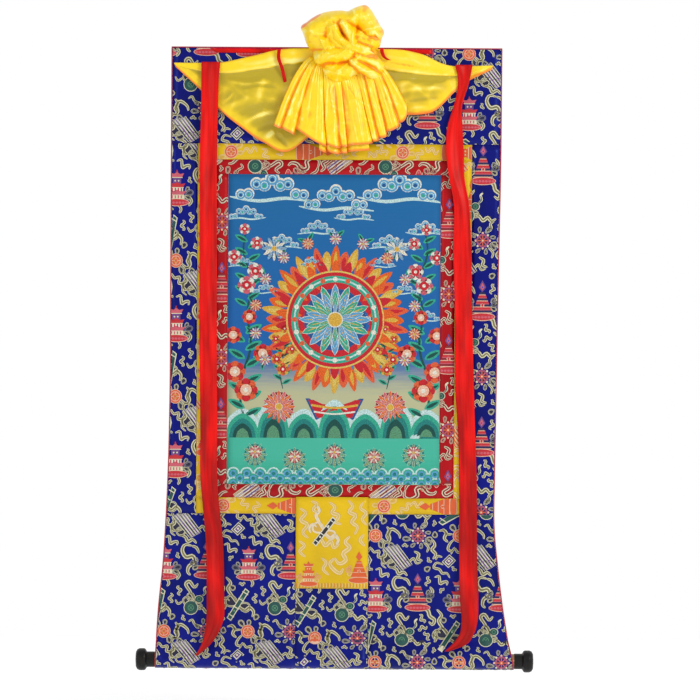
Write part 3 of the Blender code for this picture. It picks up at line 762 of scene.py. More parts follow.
def woven_figures(name, pieces, finish, lay, limits, base=SHEET / 2):
    """Figures in cloth coordinates made into thin closed shapes on the cloth: every point is held
    inside the limits, what falls outside is dropped, and each layer stands a thread higher."""
    points, faces, silks, levels = [], [], [], []
    start = 0
    for flat, triangles, silk, layer in pieces:
        points.append(flat)
        faces.append(triangles + start)
        silks.append(np.broadcast_to(SILKS[silk], (len(flat), 3)))
        levels.append(np.full(len(flat), layer))
        start += len(flat)
    points, faces = np.concatenate(points), np.concatenate(faces)
    silks, levels = np.concatenate(silks), np.concatenate(levels)
    held = limits(points)
    moved = np.abs(held - points).max(axis=1) > 1e-6
    a, b, c = (held[faces[:, k]] for k in range(3))
    area = (b[:, 0] - a[:, 0]) * (c[:, 1] - a[:, 1]) - (b[:, 1] - a[:, 1]) * (c[:, 0] - a[:, 0])
    sides = [np.linalg.norm(p - q, axis=1) for p, q in ((a, b), (b, c), (c, a))]
    sliver = (np.abs(area) < SLIVER * np.maximum.reduce(sides)) & moved[faces].any(axis=1)
    kept = (np.abs(area) > LEAST_AREA) & ~sliver
    faces = np.where((area > 0)[:, None], faces[:, [0, 2, 1]], faces)[kept]
    used, faces = np.unique(faces, return_inverse=True)
    faces = faces.reshape(-1, 3)
    points, silks, levels = held[used], silks[used], levels[used]
    top = lay(points[:, 0], points[:, 1], base + THREAD * (1 + levels))
    cut = np.c_[points, np.zeros(len(points))]
    made = new_mesh(name, top, faces, {"silk": silks, "cut": cut}, smooth=False)
    thick = made.modifiers.new("thread_thickness", "SOLIDIFY")
    thick.thickness, thick.offset = THREAD * 0.8, -1.0
    made.data.materials.append(finish)
    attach(made, "root")
    return made


def silk_thread():
    """The silk of the figures: each colour crossed by fine weft ribs and worn a little unevenly."""
    made, shader = start_material("figure_silk")
    cut = mark(shader, "cut")
    silk = mark(shader, "silk", 0)
    rib = cut.noise(400.0, 2300.0, 1.0)
    drift = cut.noise(60.0, 60.0)
    dark = silk.scaled((0.62, 0.62, 0.62))
    set_shader(shader, Base_Color=(rib * 0.9 + drift * 0.5 - 0.2).mix(dark, silk),
               Roughness=0.36 + rib * 0.25, Sheen_Weight=0.15, Sheen_Roughness=0.4,
               Normal=rib.bump(0.25))
    return made


figure_silk = silk_thread()


def repeats(pieces, origin, limits, stretch=1.0, turn=0.0):
    """The repeat laid over a region, in metres: origin is where one gourd's middle falls, limits is
    (left, right, upper, lower), stretch lengthens the repeat and turn spins the whole cloth."""
    left, right, upper, lower = np.array(limits) + (-REPEAT_REACH, REPEAT_REACH) * 2
    laid = []
    for i in range(-5, 6):
        for j in range(-6, 7):
            shift = np.array([i * REPEAT[0], j * REPEAT[1] * stretch]) @ spin(turn) + origin
            if left < shift[0] < right and upper < shift[1] < lower:
                laid += [((points * (MM, MM * stretch)) @ spin(turn) + shift, faces, silk, layer)
                         for points, faces, silk, layer in pieces]
    return laid


def recoloured(pieces, palette):
    """The same figures woven with other silks."""
    return [(points, faces, palette.get(silk, silk), layer) for points, faces, silk, layer in pieces]


def held_between(left, right, upper, lower):
    """A function that moves points inside the edges, which are numbers or functions of down."""
    def limits(points):
        down = np.clip(points[:, 1], upper, lower)
        low = left(down) if callable(left) else left
        high = right(down) if callable(right) else right
        return np.stack([np.clip(points[:, 0], low, high), down], axis=1)
    return limits


EDGE_IN = 0.0006  # the figures stop this far inside a panel's edges


def outer_left(down):
    return column(OUTER, "left", down) + EDGE_IN


def outer_right(down):
    return column(OUTER, "right", down) - EDGE_IN


repeat = brocade_repeat()
TOP_LIMITS = (EDGE_IN, GOLD_OUTER[2] - EDGE_IN)
STRIP_LIMITS = (GOLD_OUTER[2] + EDGE_IN, GOLD_OUTER[3] - EDGE_IN)
FOOT_LIMITS = (GOLD_OUTER[3] + EDGE_IN, FIGURE_END)
CUTS = (("top", (-0.128, 0.073), 1.0, outer_left, -EDGE_IN, TOP_LIMITS),
        ("top", (0.1626, 0.226), 1.0, EDGE_IN, outer_right, TOP_LIMITS),
        ("left", (-0.278, 0.393), 1.063, outer_left, GOLD_OUTER[0] - EDGE_IN, STRIP_LIMITS),
        ("right", (0.282, 0.347), 1.063, GOLD_OUTER[1] + EDGE_IN, outer_right, STRIP_LIMITS),
        ("foot_left", (-0.121, 1.182), 1.0, outer_left, PATCH[0] - EDGE_IN, FOOT_LIMITS),
        ("foot_centre", (0.0212, 1.195), 1.0, PATCH[0] + EDGE_IN, PATCH[1] - EDGE_IN, FOOT_LIMITS),
        ("foot_right", (0.1484, 1.248), 1.0, PATCH[1] + EDGE_IN, outer_right, FOOT_LIMITS))
mount_figures = {key: [] for key in mount}
for key, origin, stretch, left, right, (upper, lower) in CUTS:
    low, high = (float(edge(lower)) if callable(edge) else edge for edge in (left, right))
    laid = repeats(repeat, origin, (low, high, upper, lower), stretch)
    name = f"figures_{key}_{len(mount_figures[key])}"
    limits = held_between(left, right, upper, lower)
    mount_figures[key].append(woven_figures(name, laid, figure_silk, on_cloth, limits))

MOUNT_FLAT = {"top": (0.697, 0.202), "left": (0.062, 0.784), "right": (0.060, 0.784),
              "foot_left": (0.294, 0.426), "foot_centre": (0.154, 0.426), "foot_right": (0.308, 0.426)}
for key, piece in mount.items():
    rests = ["roller"] if key.startswith("foot") else ["gold_" + key]
    finish_cloth(piece, blue_ground, "brocade_" + key, MOUNT_FLAT[key])

# ---------------------------------------------------------------- Red border
# Four strips of red figured brocade are sewn round the canvas. The long ones over and under it are
# cut across the cloth, so their figures lie on their sides.
RED_OUTER = (-0.2578, 0.2533, 0.2364, 0.9530)
CANVAS = (-0.2280, 0.2226, 0.2673, 0.9245)
BORDER_IN = 0.0005
QUARTER = math.pi / 2
RED_SILKS = {"olive": "wine", "ink": "wine", "navy": "wine", "orange": "flame", "grey": "blush"}
red_ground = satin_ground("red_satin_ground", (0.50, 0.004, 0.010), (0.25, 0.002, 0.006),
                          (1.0, 0.35, 0.3), 0.08)


def border_edges(outer, inner):
    """The four strips of a border: the upper and lower ones run its full width."""
    left, right, upper, lower = outer
    return {"top": (left, right, upper, inner[2]), "bottom": (left, right, inner[3], lower),
            "left": (left, inner[0], inner[2], inner[3]), "right": (inner[1], right, inner[2], inner[3])}


def border_strip(colour, side, edges, ground, figures):
    """One strip of a border, with its woven figures held inside its edges."""
    left, right, upper, lower = edges
    across = max(4, int((right - left) / 0.014))
    piece = grid_piece(f"{colour}_strip_{side}", edges, across, 0.012)
    limits = held_between(left + BORDER_IN, right - BORDER_IN, upper + BORDER_IN, lower - BORDER_IN)
    made = woven_figures(f"{colour}_figures_{side}", figures, figure_silk, on_cloth, limits)
    finish_cloth(piece, ground, f"{colour}_{side}", (right - left, lower - upper))


red_figures = recoloured(repeat, RED_SILKS)
# how each strip is cut: where a gourd's middle falls, the repeat's stretch, and its turn
RED_CUTS = {"top": ((0.110, 0.2533), 1.02, QUARTER), "bottom": ((-0.003, 0.933), 1.063, -QUARTER),
            "left": ((-0.271, 0.3106), 1.063, 0.0), "right": ((0.211, 0.461), 1.063, 0.0)}
for side, edges in border_edges(RED_OUTER, CANVAS).items():
    origin, stretch, turn = RED_CUTS[side]
    border_strip("red", side, edges, red_ground, repeats(red_figures, origin, edges, stretch, turn))

# ---------------------------------------------------------------- Gold border
# Four strips of gold brocade frame the red ones. Their coins, towers and pale ribbons lie on their
# sides in the long strips.
GOLD_SILKS = {"olive": "amber", "cream": "blush", "ink": "gold", "navy": "flame", "violet": "flame",
              "red": "flame", "rose": "orange", "grey": "blush", "green": "gold", "blue": "flame",
              "white": "blush", "leaf": "orange"}
gold_ground = satin_ground("gold_satin_ground", (0.86, 0.56, 0.008), (0.55, 0.34, 0.004),
                           (1.0, 0.9, 0.5), 0.12)
gold_figures = recoloured(repeat, GOLD_SILKS)
gold_coin, gold_stupa = recoloured(roundel(), GOLD_SILKS), recoloured(stupa(), GOLD_SILKS)
gold_pavilion = recoloured(pavilion(), GOLD_SILKS)
wavy = recoloured(ribbon_figure([(-12, 4), (-6, -6), (2, 6), (10, -4), (18, 6)], 5.0), GOLD_SILKS)
gold_sides = border_edges(GOLD_OUTER, RED_OUTER)
TOP_LINE, BOTTOM_LINE = 0.2200, 0.9700
lying = {"top": [], "bottom": []}
for x, pieces, turn in ((-0.2226, gold_coin, QUARTER), (-0.052, gold_stupa, QUARTER),
                        (0.1410, gold_coin, QUARTER), (0.262, gold_pavilion, QUARTER)):
    lying["top"] += place(pieces, x, TOP_LINE, turn, MM)
for x, pieces, turn in ((-0.095, gold_stupa, -QUARTER), (0.1060, gold_coin, -QUARTER),
                        (0.228, gold_stupa, -QUARTER), (-0.235, gold_coin, -QUARTER)):
    lying["bottom"] += place(pieces, x, BOTTOM_LINE, turn, MM)
for k, x in enumerate((-0.180, -0.150, -0.110, 0.008, 0.040, 0.078, 0.100, 0.176, 0.205)):
    lying["top"] += place(wavy, x, TOP_LINE - 0.004 + 0.008 * (k % 2), 1.2 * k, MM, k % 3 == 0)
for k, x in enumerate((-0.190, -0.165, -0.030, 0.010, 0.050, 0.150, 0.180)):
    lying["bottom"] += place(wavy, x, BOTTOM_LINE - 0.004 + 0.008 * (k % 2), 0.9 * k + 1, MM, k % 2 == 0)
for side, edges in gold_sides.items():
    origin = (-0.300, 0.350) if side == "left" else (0.262, 0.420)
    figures = lying.get(side) or repeats(gold_figures, origin, edges, 1.063)
    border_strip("gold", side, edges, gold_ground, figures)

# ---------------------------------------------------------------- Gold patch
# A rectangle of the gold brocade is sewn over the middle of the lower border and the foot. Pale
# ribbons wander over it, round a striped pipe, and two towers stand at its lower corners.
PATCH_FORWARD = SHEET + SEAM
PIPE_SILKS = {"green": "black", "leaf": "white", "cream": "white", "olive": "blush", "ink": "gold"}
patch = grid_piece("door_patch", PATCH, 14, 0.014, PATCH_FORWARD)
laid = (place(recoloured(flute(), PIPE_SILKS), -0.0201, 1.0240, 0.1, MM * 0.95)
        + place(gold_pavilion, -0.0530, 1.1120, 0.0, MM * 0.74)
        + place(recoloured(stupa(), GOLD_SILKS), 0.0540, 1.1060, 0.0, MM * 0.84))
# ribbons in millimetres across and down, each with its width
for knots, width in (([(-72, 975), (-60, 985), (-70, 1000), (-56, 1010), (-66, 1026), (-54, 1038)], 7),
                     ([(-10, 962), (2, 972), (-4, 984), (10, 990), (4, 1004), (16, 1008)], 7),
                     ([(30, 958), (40, 970), (32, 982), (46, 990), (38, 1004), (50, 1014), (44, 1030)], 7),
                     ([(62, 962), (56, 974), (68, 984), (60, 998), (70, 1010)], 6),
                     ([(-48, 960), (-36, 966), (-44, 978), (-32, 984)], 6),
                     ([(-40, 1052), (-28, 1040), (-18, 1054), (-6, 1044), (0, 1058), (12, 1050)], 7),
                     ([(34, 1034), (24, 1046), (34, 1058), (20, 1070), (26, 1084), (12, 1092),
                       (2, 1080)], 8),
                     ([(2, 1080), (-8, 1092), (2, 1106), (14, 1112), (20, 1102)], 7),
                     ([(-26, 1080), (-16, 1090), (-22, 1104), (-10, 1116)], 6),
                     ([(-74, 1044), (-62, 1054), (-72, 1066), (-60, 1078)], 6),
                     ([(64, 1030), (56, 1042), (66, 1054)], 6)):
    shape = ribbon_figure(knots, width, "blush", "straw")
    laid += place(recoloured(shape, GOLD_SILKS), size=MM)
for k in range(46):
    x = -0.0790 + 0.00335 * k
    laid.append(band([(x, 1.1435), (x + 0.0008, 1.1385), (x + 0.0003, 1.1330)], 0.0011,
                     "blush" if k % 2 else "orange", 1))
patch_limits = held_between(PATCH[0] + BORDER_IN, PATCH[1] - BORDER_IN, PATCH[2] + BORDER_IN,
                            PATCH[3] - BORDER_IN)
patch_figures = woven_figures("door_patch_figures", laid, figure_silk, on_cloth, patch_limits,
                              PATCH_FORWARD + SHEET / 2)
finish_cloth(patch, gold_ground, "gold_patch", (0.154, 0.194))

# ---------------------------------------------------------------- Canvas
# The middle is primed cotton, painted in mineral colours: blue above, sandy at the horizon, green
# below. What is painted is a garden of lotuses under clouds, drawn for this scene.
canvas_width, canvas_height = CANVAS[1] - CANVAS[0], CANVAS[3] - CANVAS[2]
canvas = grid_piece("painted_canvas", CANVAS, 30, 0.016)


def canvas_ground():
    """Flat paint that runs from blue through sand to green down the cloth, brushed sideways."""
    made, shader = start_material("canvas_ground")
    cut = mark(shader, "cut")
    place_down = cut.part(1)
    side = cut.part(2)
    brush = cut.noise(18.0, 240.0, 3.0)
    down = (place_down - CANVAS[2]) * (1 / canvas_height) + brush * 0.05 - 0.025
    paint = down.step(0.0, 0.55).mix((0.005, 0.115, 0.30), (0.006, 0.10, 0.33))
    paint = down.step(0.58, 0.72).mix(paint, (0.42, 0.42, 0.24))
    paint = down.step(0.74, 0.86).mix(paint, (0.05, 0.40, 0.28))
    paint = down.step(0.90, 1.0).mix(paint, (0.02, 0.32, 0.20))
    weave = cut.noise(1800.0, 1800.0, 1.0)
    set_shader(shader, Base_Color=side.mix(paint, (0.50, 0.44, 0.34)), Roughness=0.62 + brush * 0.2,
               Specular_IOR_Level=0.3, Normal=weave.bump(0.2))
    return made


PETAL = np.array([(0.30, 0), (0.70, 0.13), (1.06, 0), (0.70, -0.13)])
PETAL_VEIN = np.array([(0.45, 0), (0.70, 0.021), (0.92, 0), (0.70, -0.021)])


def lotus(radius, rings, silks, layer=2):
    """A round lotus: rings of pointed petals, each ring smaller and turned half a petal."""
    flower = [disc(0, 0, radius * 0.92, silks[0], layer, 24)]
    for ring in range(rings):
        size, count = radius * (1 - ring / (rings + 0.6)), (16 if radius > 0.03 else 12) - 2 * ring
        for k in range(count):
            turn = 2 * math.pi * (k + 0.5 * (ring % 2)) / count
            silk = silks[(ring + k) % 2 + 1]
            above = layer + 2 * ring
            flower += place([blot(PETAL * size, "white", above + 1, 8),
                             blot(PETAL * (0.985, 0.84) * size, silk, above + 2, 8),
                             polygon(PETAL_VEIN * size, silks[3], above + 3)], turn=turn)
    return flower + [disc(0, 0, radius * 0.22, silks[3], layer + 12, 14),
                     hoop(0, 0, radius * 0.22, radius * 0.03, "white", layer + 13, 14)]


def cloud(width, layer=2):
    """A bank of cloud: a heap of shaded scrolls over a trailing tail."""
    bank = []
    for k in range(9):
        x, y = width * (k - 4) / 9, -width * 0.16 * math.cos((k - 4) * 0.5) + width * 0.07 * (k % 2)
        size = width * (0.105 - 0.012 * abs(k - 4) * 0.6)
        bank += [disc(x, y, size, "white", layer, 14),
                 disc(x, y + size * 0.12, size * 0.82, "sky", layer + 1, 12),
                 hoop(x, y + size * 0.1, size * 0.5, size * 0.14, "mist", layer + 2, 10),
                 disc(x, y + size * 0.2, size * 0.3, "jade" if k % 2 else "deep", layer + 3, 8)]
    tail = band([(-width * 0.6, width * 0.10), (-width * 0.2, width * 0.16), (width * 0.2, width * 0.12),
                 (width * 0.62, width * 0.17)], width * 0.05, "mist", layer)
    return bank + [tail]


def leaf(x, y, length, turn, skin="jade", vein="green", layer=2):
    """A pointed leaf with a darker middle."""
    shape = np.array([(0, 0), (0.3, 0.19), (0.72, 0.16), (1, 0), (0.72, -0.16), (0.3, -0.19)]) * length
    middle = shape * (0.7, 0.45) + (0.12 * length, 0)
    return [blot(shape @ spin(turn) + (x, y), skin, layer),
            blot(middle @ spin(turn) + (x, y), vein, layer + 1)]


def spray(height, silks, layer=2):
    """A flowering spray: a bowed stem, paired leaves and round blossoms of many small petals."""
    stem = [(0, 0), (height * 0.06, -height * 0.35), (-height * 0.04, -height * 0.7), (0, -height)]
    pieces = [band(stem, height * 0.022, "green", layer, 0.5)]
    for k in range(11):
        rise = -height * (0.08 + 0.075 * k)
        lean = math.radians(-28 if k % 2 else 208)
        pieces += leaf(0.01 * height, rise, height * 0.17, lean)
    for k in range(5):
        x, y = height * 0.15 * math.sin(k * 2.4), -height * (0.32 + 0.165 * k)
        size = height * (0.105 - 0.010 * k)
        blossom = []
        for n in range(8):
            turn = n * math.pi / 4
            blossom.append(disc(0.62 * math.cos(turn), 0.62 * math.sin(turn), 0.40,
                                silks[(n + k) % 2], layer + 3, 10))
        blossom += [disc(0, 0, 0.5, silks[2], layer + 4, 14), disc(0, 0, 0.2, "white", layer + 5, 10)]
        pieces += place(blossom, x, y, size=size)
    return pieces


def hill(width, height, silks, layer=2):
    """A rounded hill with a pale crest and darker folds."""
    knots = np.array([(-0.5, 0), (-0.38, -0.62), (0, -1), (0.38, -0.62), (0.5, 0)]) * (width, height)
    outline = smooth_line(knots, 20)
    return [polygon(outline * (1 - 0.17 * k), silk, layer + k) for k, silk in enumerate(silks)]


painted = []
for k in range(3):
    painted += place(cloud(0.150 - 0.02 * (k % 2)), -0.135 + 0.135 * k, 0.300 + 0.022 * (k % 2))
for k in range(6):
    painted += place(cloud(0.070), -0.190 + 0.076 * k, 0.352 + 0.030 * ((k * 5) % 3), flip=k % 2 == 0)
WATER_ROWS = 3
for row in range(WATER_ROWS):
    for k in range(16):
        x, y = -0.214 + 0.0285 * k + 0.014 * (row % 2), 0.9235 - 0.0105 * (WATER_ROWS - row)
        for ring, silk in enumerate(("mist", "jade", "sky", "teal")):
            painted.append(disc(x, y + 0.010, 0.0140 - 0.0033 * ring, silk, 1 + ring + row, 12))
for k in range(5):
    x, rise = -0.168 + 0.084 * k, 0.010 * (k % 2)
    painted += place(lotus(0.0250, 3, ("teal", "jade", "leaf", "gold")), x, 0.862 + rise)
    painted += place(lotus(0.0140, 3, ("wine", "white", "rose", "gold"), 16), x, 0.856 + rise)
for k in range(9):
    painted += place(cloud(0.052), -0.196 + 0.049 * k, 0.455 + 0.17 * (k % 3) / 3, flip=k % 2 == 0)
for k in range(7):
    painted += place(hill(0.086, 0.062 + 0.020 * (k % 2), ("mist", "jade", "teal", "green", "leaf")),
                     -0.195 + 0.065 * k, 0.826)
for side in (-1, 1):
    painted += place(spray(0.235, ("red", "orange", "peach")), side * 0.188, 0.800, flip=side < 0)
    painted += place(spray(0.180, ("rose", "white", "red")), side * 0.188, 0.560, flip=side > 0)
    painted += place(lotus(0.0340, 3, ("wine", "orange", "rose", "gold")), side * 0.118, 0.760)
    painted += place(spray(0.130, ("orange", "gold", "red")), side * 0.110, 0.722, flip=side < 0)
    painted += place(lotus(0.0250, 3, ("deep", "sky", "white", "gold")), side * 0.130, 0.425)
BLOOM = (0.0, 0.575)  # the great lotus's middle
BEADS = 0.086  # the radius of the ring of beads round it
rays = []
for k in range(44):
    turn = 2 * math.pi * k / 44
    reach = 0.146 + 0.012 * (k % 2)
    rays += place([blot([(0.100, 0), (0.128, 0.0100), (reach, 0.002), (0.128, -0.0100)],
                        ("flame", "orange", "gold")[k % 3], 2 + k % 2, 14),
                   blot([(0.104, 0), (0.122, 0.0048), (reach - 0.012, 0.001), (0.122, -0.0048)],
                        ("gold", "red", "straw")[k % 3], 4, 12)], turn=turn)
for k in range(26):
    turn = 2 * math.pi * (k + 0.5) / 26
    rays += place([blot([(0.070, 0), (0.104, 0.0095), (0.127, 0.001), (0.104, -0.0095)],
                        ("red", "flame")[k % 2], 5, 12)], turn=turn)
painted += place(rays, *BLOOM)
painted += place([disc(0, 0, 0.104, "straw", 6, 60), disc(0, 0, 0.1005, "red", 7, 60),
                  hoop(0, 0, BEADS, 0.014, "jade", 8, 60), hoop(0, 0, BEADS, 0.0035, "mist", 9, 60)],
                 *BLOOM)
for k in range(20):
    turn = 2 * math.pi * k / 20
    painted.append(disc(BLOOM[0] + BEADS * math.cos(turn), BLOOM[1] + BEADS * math.sin(turn), 0.0052,
                        ("orange", "white")[k % 2], 10, 14))
painted += place(lotus(0.072, 5, ("deep", "sky", "jade", "gold"), 9), *BLOOM)
painted += place([polygon([(-0.062, 0.0), (-0.040, 0.045), (0.040, 0.045), (0.062, 0.0)], "deep", 3),
                  polygon([(-0.056, 0.003), (-0.037, 0.041), (0.037, 0.041), (0.056, 0.003)], "red", 4),
                  band([(-0.050, 0.014), (0.0, 0.020), (0.050, 0.014)], 0.0045, "gold", 5, 1.0),
                  band([(-0.044, 0.028), (0.0, 0.033), (0.044, 0.028)], 0.0035, "white", 5, 1.0)],
                 0.0, 0.742)
for k in range(18):
    turn = 2 * math.pi * (k + 0.5) / 18
    x, y = BLOOM[0] + 0.171 * math.cos(turn), BLOOM[1] + 0.171 * math.sin(turn)
    if y < 0.70:
        bud = ("deep", "white", "rose", "gold") if k % 3 else ("wine", "orange", "peach", "gold")
        painted += place(lotus(0.0125, 2, bud, 6), x, y)
        painted += place(leaf(0.004, 0, 0.024, 0.9) + leaf(0.004, 0, 0.022, -0.9), x, y, turn)
PAINT_LAYER = 0.00004
PAINT_IN = 0.0008  # the paint stops this far inside the canvas's edges


def paint_on(x, down, forward):
    """Paint lies far flatter than woven silk."""
    return on_cloth(x, down, SHEET / 2 + (forward - SHEET / 2) * PAINT_LAYER / THREAD)


def paint_material():
    """Matte mineral paint, a little uneven."""
    made, shader = start_material("mineral_paint")
    cut = mark(shader, "cut")
    silk = mark(shader, "silk", 0)
    mottle = cut.noise(420.0, 420.0, 2.0)
    dark = silk.scaled((0.55, 0.55, 0.55))
    set_shader(shader, Base_Color=mottle.step(0.3, 0.7).mix(dark, silk), Roughness=0.6,
               Specular_IOR_Level=0.3)
    return made


canvas_limits = held_between(CANVAS[0] + PAINT_IN, CANVAS[1] - PAINT_IN, CANVAS[2] + PAINT_IN,
                             CANVAS[3] - PAINT_IN)
paintwork = woven_figures("paintwork", painted, paint_material(), paint_on, canvas_limits)
finish_cloth(canvas, canvas_ground(), "painting", (canvas_width, canvas_height))

# ---------------------------------------------------------------- Piping
# A thin cord covered in red silk is sewn along the top and down both outer edges, and it follows
# the cloth round the roller.
PIPING_RADIUS = 0.0012
PIPING_SIDES = 10


def closed_rings(name, rings, ends, attributes=None, forwards=True):
    """A closed skin over rings of points: each ring is joined to the next, and the first and last to
    an end point each. Forwards is whether the rings turn clockwise, looking from the first to the
    last, which sets the way the faces point."""
    sides = rings.shape[1]
    number = np.arange(rings.shape[0] * sides).reshape(-1, sides)
    after = np.roll(number, -1, axis=1)
    quads = np.stack([number[:-1], after[:-1], after[1:], number[1:]], axis=-1).reshape(-1, 4)
    first, last = np.full(sides, number.size), np.full(sides, number.size + 1)
    faces = np.concatenate([quads[:, [0, 1, 2]], quads[:, [0, 2, 3]],
                            np.stack([number[0], first, after[0]], axis=-1),
                            np.stack([number[-1], after[-1], last], axis=-1)])
    points = np.concatenate([rings.reshape(-1, 3), ends])
    return new_mesh(name, points, faces if forwards else faces[:, ::-1], attributes)


def round_cord(name, route, radius, aside):
    """A round cord along a route of points that never runs along the direction aside, with closed
    ends. Its "cut" attribute holds the distance along it and the turn round it."""
    along = np.gradient(route, axis=0)
    along /= np.linalg.norm(along, axis=1, keepdims=True)
    one = np.cross(along, aside)
    one /= np.linalg.norm(one, axis=1, keepdims=True)
    two = np.cross(along, one)
    turn = 2 * math.pi * np.arange(PIPING_SIDES) / PIPING_SIDES
    ring = one[:, None] * np.cos(turn)[None, :, None] + two[:, None] * np.sin(turn)[None, :, None]
    run = np.concatenate([[0], np.cumsum(np.linalg.norm(np.diff(route, axis=0), axis=1))])
    cut = np.stack(np.broadcast_arrays(run[:, None], turn, 0.0), axis=-1).reshape(-1, 3)
    cut = np.concatenate([cut, [[0, 0, 0], [run[-1], 0, 0]]])
    return closed_rings(name, route[:, None] + ring * radius, route[[0, -1]], {"cut": cut})


def cord_material():
    """Red silk wound round a core: a fine slanting twist, with painted shade darkening the grooves between
    its turns.
    """
    made, shader = start_material("piping_silk")
    cut = mark(shader, "cut")
    twist = (cut.part(0) * 3600.0 + cut.part(1)).math("SINE") * 0.5 + 0.5
    # painted shade: dark red where the twist's bump is low, in the grooves
    set_shader(shader, Base_Color=twist.mix((0.30, 0.004, 0.008), (0.66, 0.035, 0.03)),
               Roughness=0.5, Normal=twist.bump(0.4, 0.0003))
    return made


cord_silk = cord_material()
cord_down = hem_rows(0.0, POCKET_END, 0.02)
for side, outward in (("left", -1), ("right", 1)):
    x = column(OUTER, side, cord_down) + outward * (PIPING_RADIUS + MEET)
    cord = round_cord("cord_" + side, on_cloth(x, cord_down), PIPING_RADIUS, (1.0, 0.0, 0.0))
    fitted(cord, cord_silk, "piping_" + side)
top_x = np.linspace(OUTER[1][1] - 0.002, OUTER[1][2] + 0.002, 30)
top_route = np.stack([top_x, np.zeros(30), np.full(30, PIPING_RADIUS + MEET)], axis=1)
cord = round_cord("cord_top", top_route, PIPING_RADIUS, (0.0, 1.0, 0.0))
fitted(cord, cord_silk, "piping_top")

# ---------------------------------------------------------------- Roller and knobs
# A plain turned dowel of wood lies in the hem pocket. A turned knob with a round head and a narrow
# neck is pressed on each end and finished in black lacquer.
KNOB_PROFILE = (("from_cloth", "radius"),
                (0.0000, 0.0165),
                (0.0160, 0.0165),
                (0.0176, 0.0190),
                (0.0196, 0.0222),
                (0.0224, 0.0234),
                (0.0316, 0.0234),
                (0.0366, 0.0212),
                (0.0396, 0.0160),
                (0.0402, 0.0080))
TURNED_SIDES = 96


def turned(name, x, radius):
    """A turned piece about the roller's line, with flat ends: rows of (x, radius) spun round."""
    turn = 2 * math.pi * np.arange(TURNED_SIDES) / TURNED_SIDES
    y, z = np.outer(radius, np.cos(turn)), np.outer(radius, np.sin(turn)) - ROLLER_DROP
    rings = np.stack([np.broadcast_to(x[:, None], y.shape), y, z], axis=-1)
    ends = [(x[0], 0, -ROLLER_DROP), (x[-1], 0, -ROLLER_DROP)]
    made = closed_rings(name, rings, ends, forwards=x[-1] > x[0])
    made.data.set_sharp_from_angle(angle=math.radians(35))
    return made


def wood_material():
    """Pale turned wood: fine grain along the roller."""
    made, shader = start_material("dowel_wood")
    where = Wire(shader.outputs[0]).node("TexCoord", output=3)
    grain = where.noise(14.0, 420.0, 3.0, 420.0)
    set_shader(shader, Base_Color=grain.step(0.35, 0.65).mix((0.20, 0.10, 0.045), (0.46, 0.28, 0.14)),
               Roughness=0.6)
    return made


def lacquer_material():
    """Black lacquer, faintly brown where it is thin, with a soft polish."""
    made, shader = start_material("black_lacquer")
    where = Wire(shader.outputs[0]).node("TexCoord", output=3)
    wear = where.noise(60.0, 60.0, 3.0, 60.0)
    set_shader(shader, Base_Color=wear.step(0.45, 0.8).mix((0.003, 0.003, 0.003), (0.012, 0.009, 0.007)),
               Roughness=0.34 + wear * 0.25, Specular_IOR_Level=0.22, Coat_Weight=0.05)
    return made


lacquer = lacquer_material()
ends = [float(column(OUTER, side, HEM_LOWEST)) for side in ("left", "right")]
past_cloth = 2 * PIPING_RADIUS + 2 * SEAM
dowel = turned("dowel", np.array([ends[0] - past_cloth + SEAM, ends[1] + past_cloth - SEAM]),
               np.full(2, ROLLER_RADIUS))
fitted(dowel, wood_material(), "roller")
profile = np.array(KNOB_PROFILE[1:])
steps = spread(tuple(profile[:, 0]), 0.0007)
for side, outward, end in (("left", -1, ends[0]), ("right", 1, ends[1])):
    radius = np.interp(steps, profile[:, 0], profile[:, 1])
    knob = turned("turned_knob_" + side, end + outward * (past_cloth + steps), radius)
    fitted(knob, lacquer, "knob_" + side)

# ---------------------------------------------------------------- Ribbons, ties and top band
# Two long red satin ribbons are sewn to the top corners of the veil and hang free with slanting
# ends. Two short ties hold the veil up, and a flat red tape runs along the top edge behind it.
RIBBON = 0.0012
RIBBON_WIDTH = 0.038
STREAMER_LEFT = (("down", "left", "right", "front", "turn"),
                 (0.031, -0.286, -0.246, 0.0155, 0.000),
                 (0.056, -0.286, -0.248, 0.0185, 0.002),
                 (0.118, -0.286, -0.250, 0.0185, 0.001),
                 (0.205, -0.288, -0.252, 0.0120, -0.002),
                 (0.427, -0.288, -0.251, 0.0080, 0.001),
                 (0.639, -0.287, -0.250, 0.0080, -0.001),
                 (0.809, -0.284, -0.248, 0.0080, 0.002),
                 (0.915, -0.283, -0.247, 0.0090, 0.003),
                 (0.957, -0.279, -0.244, 0.0100, 0.003),
                 (1.042, -0.271, -0.235, 0.0120, -0.001),
                 (1.169, -0.268, -0.231, 0.0190, -0.003),
                 (1.207, -0.268, -0.231, 0.0220, -0.002),
                 (1.241, -0.272, -0.244, 0.0240, 0.000),
                 (1.267, -0.280, -0.263, 0.0240, 0.001),
                 (1.287, -0.291, -0.287, 0.0240, 0.000))
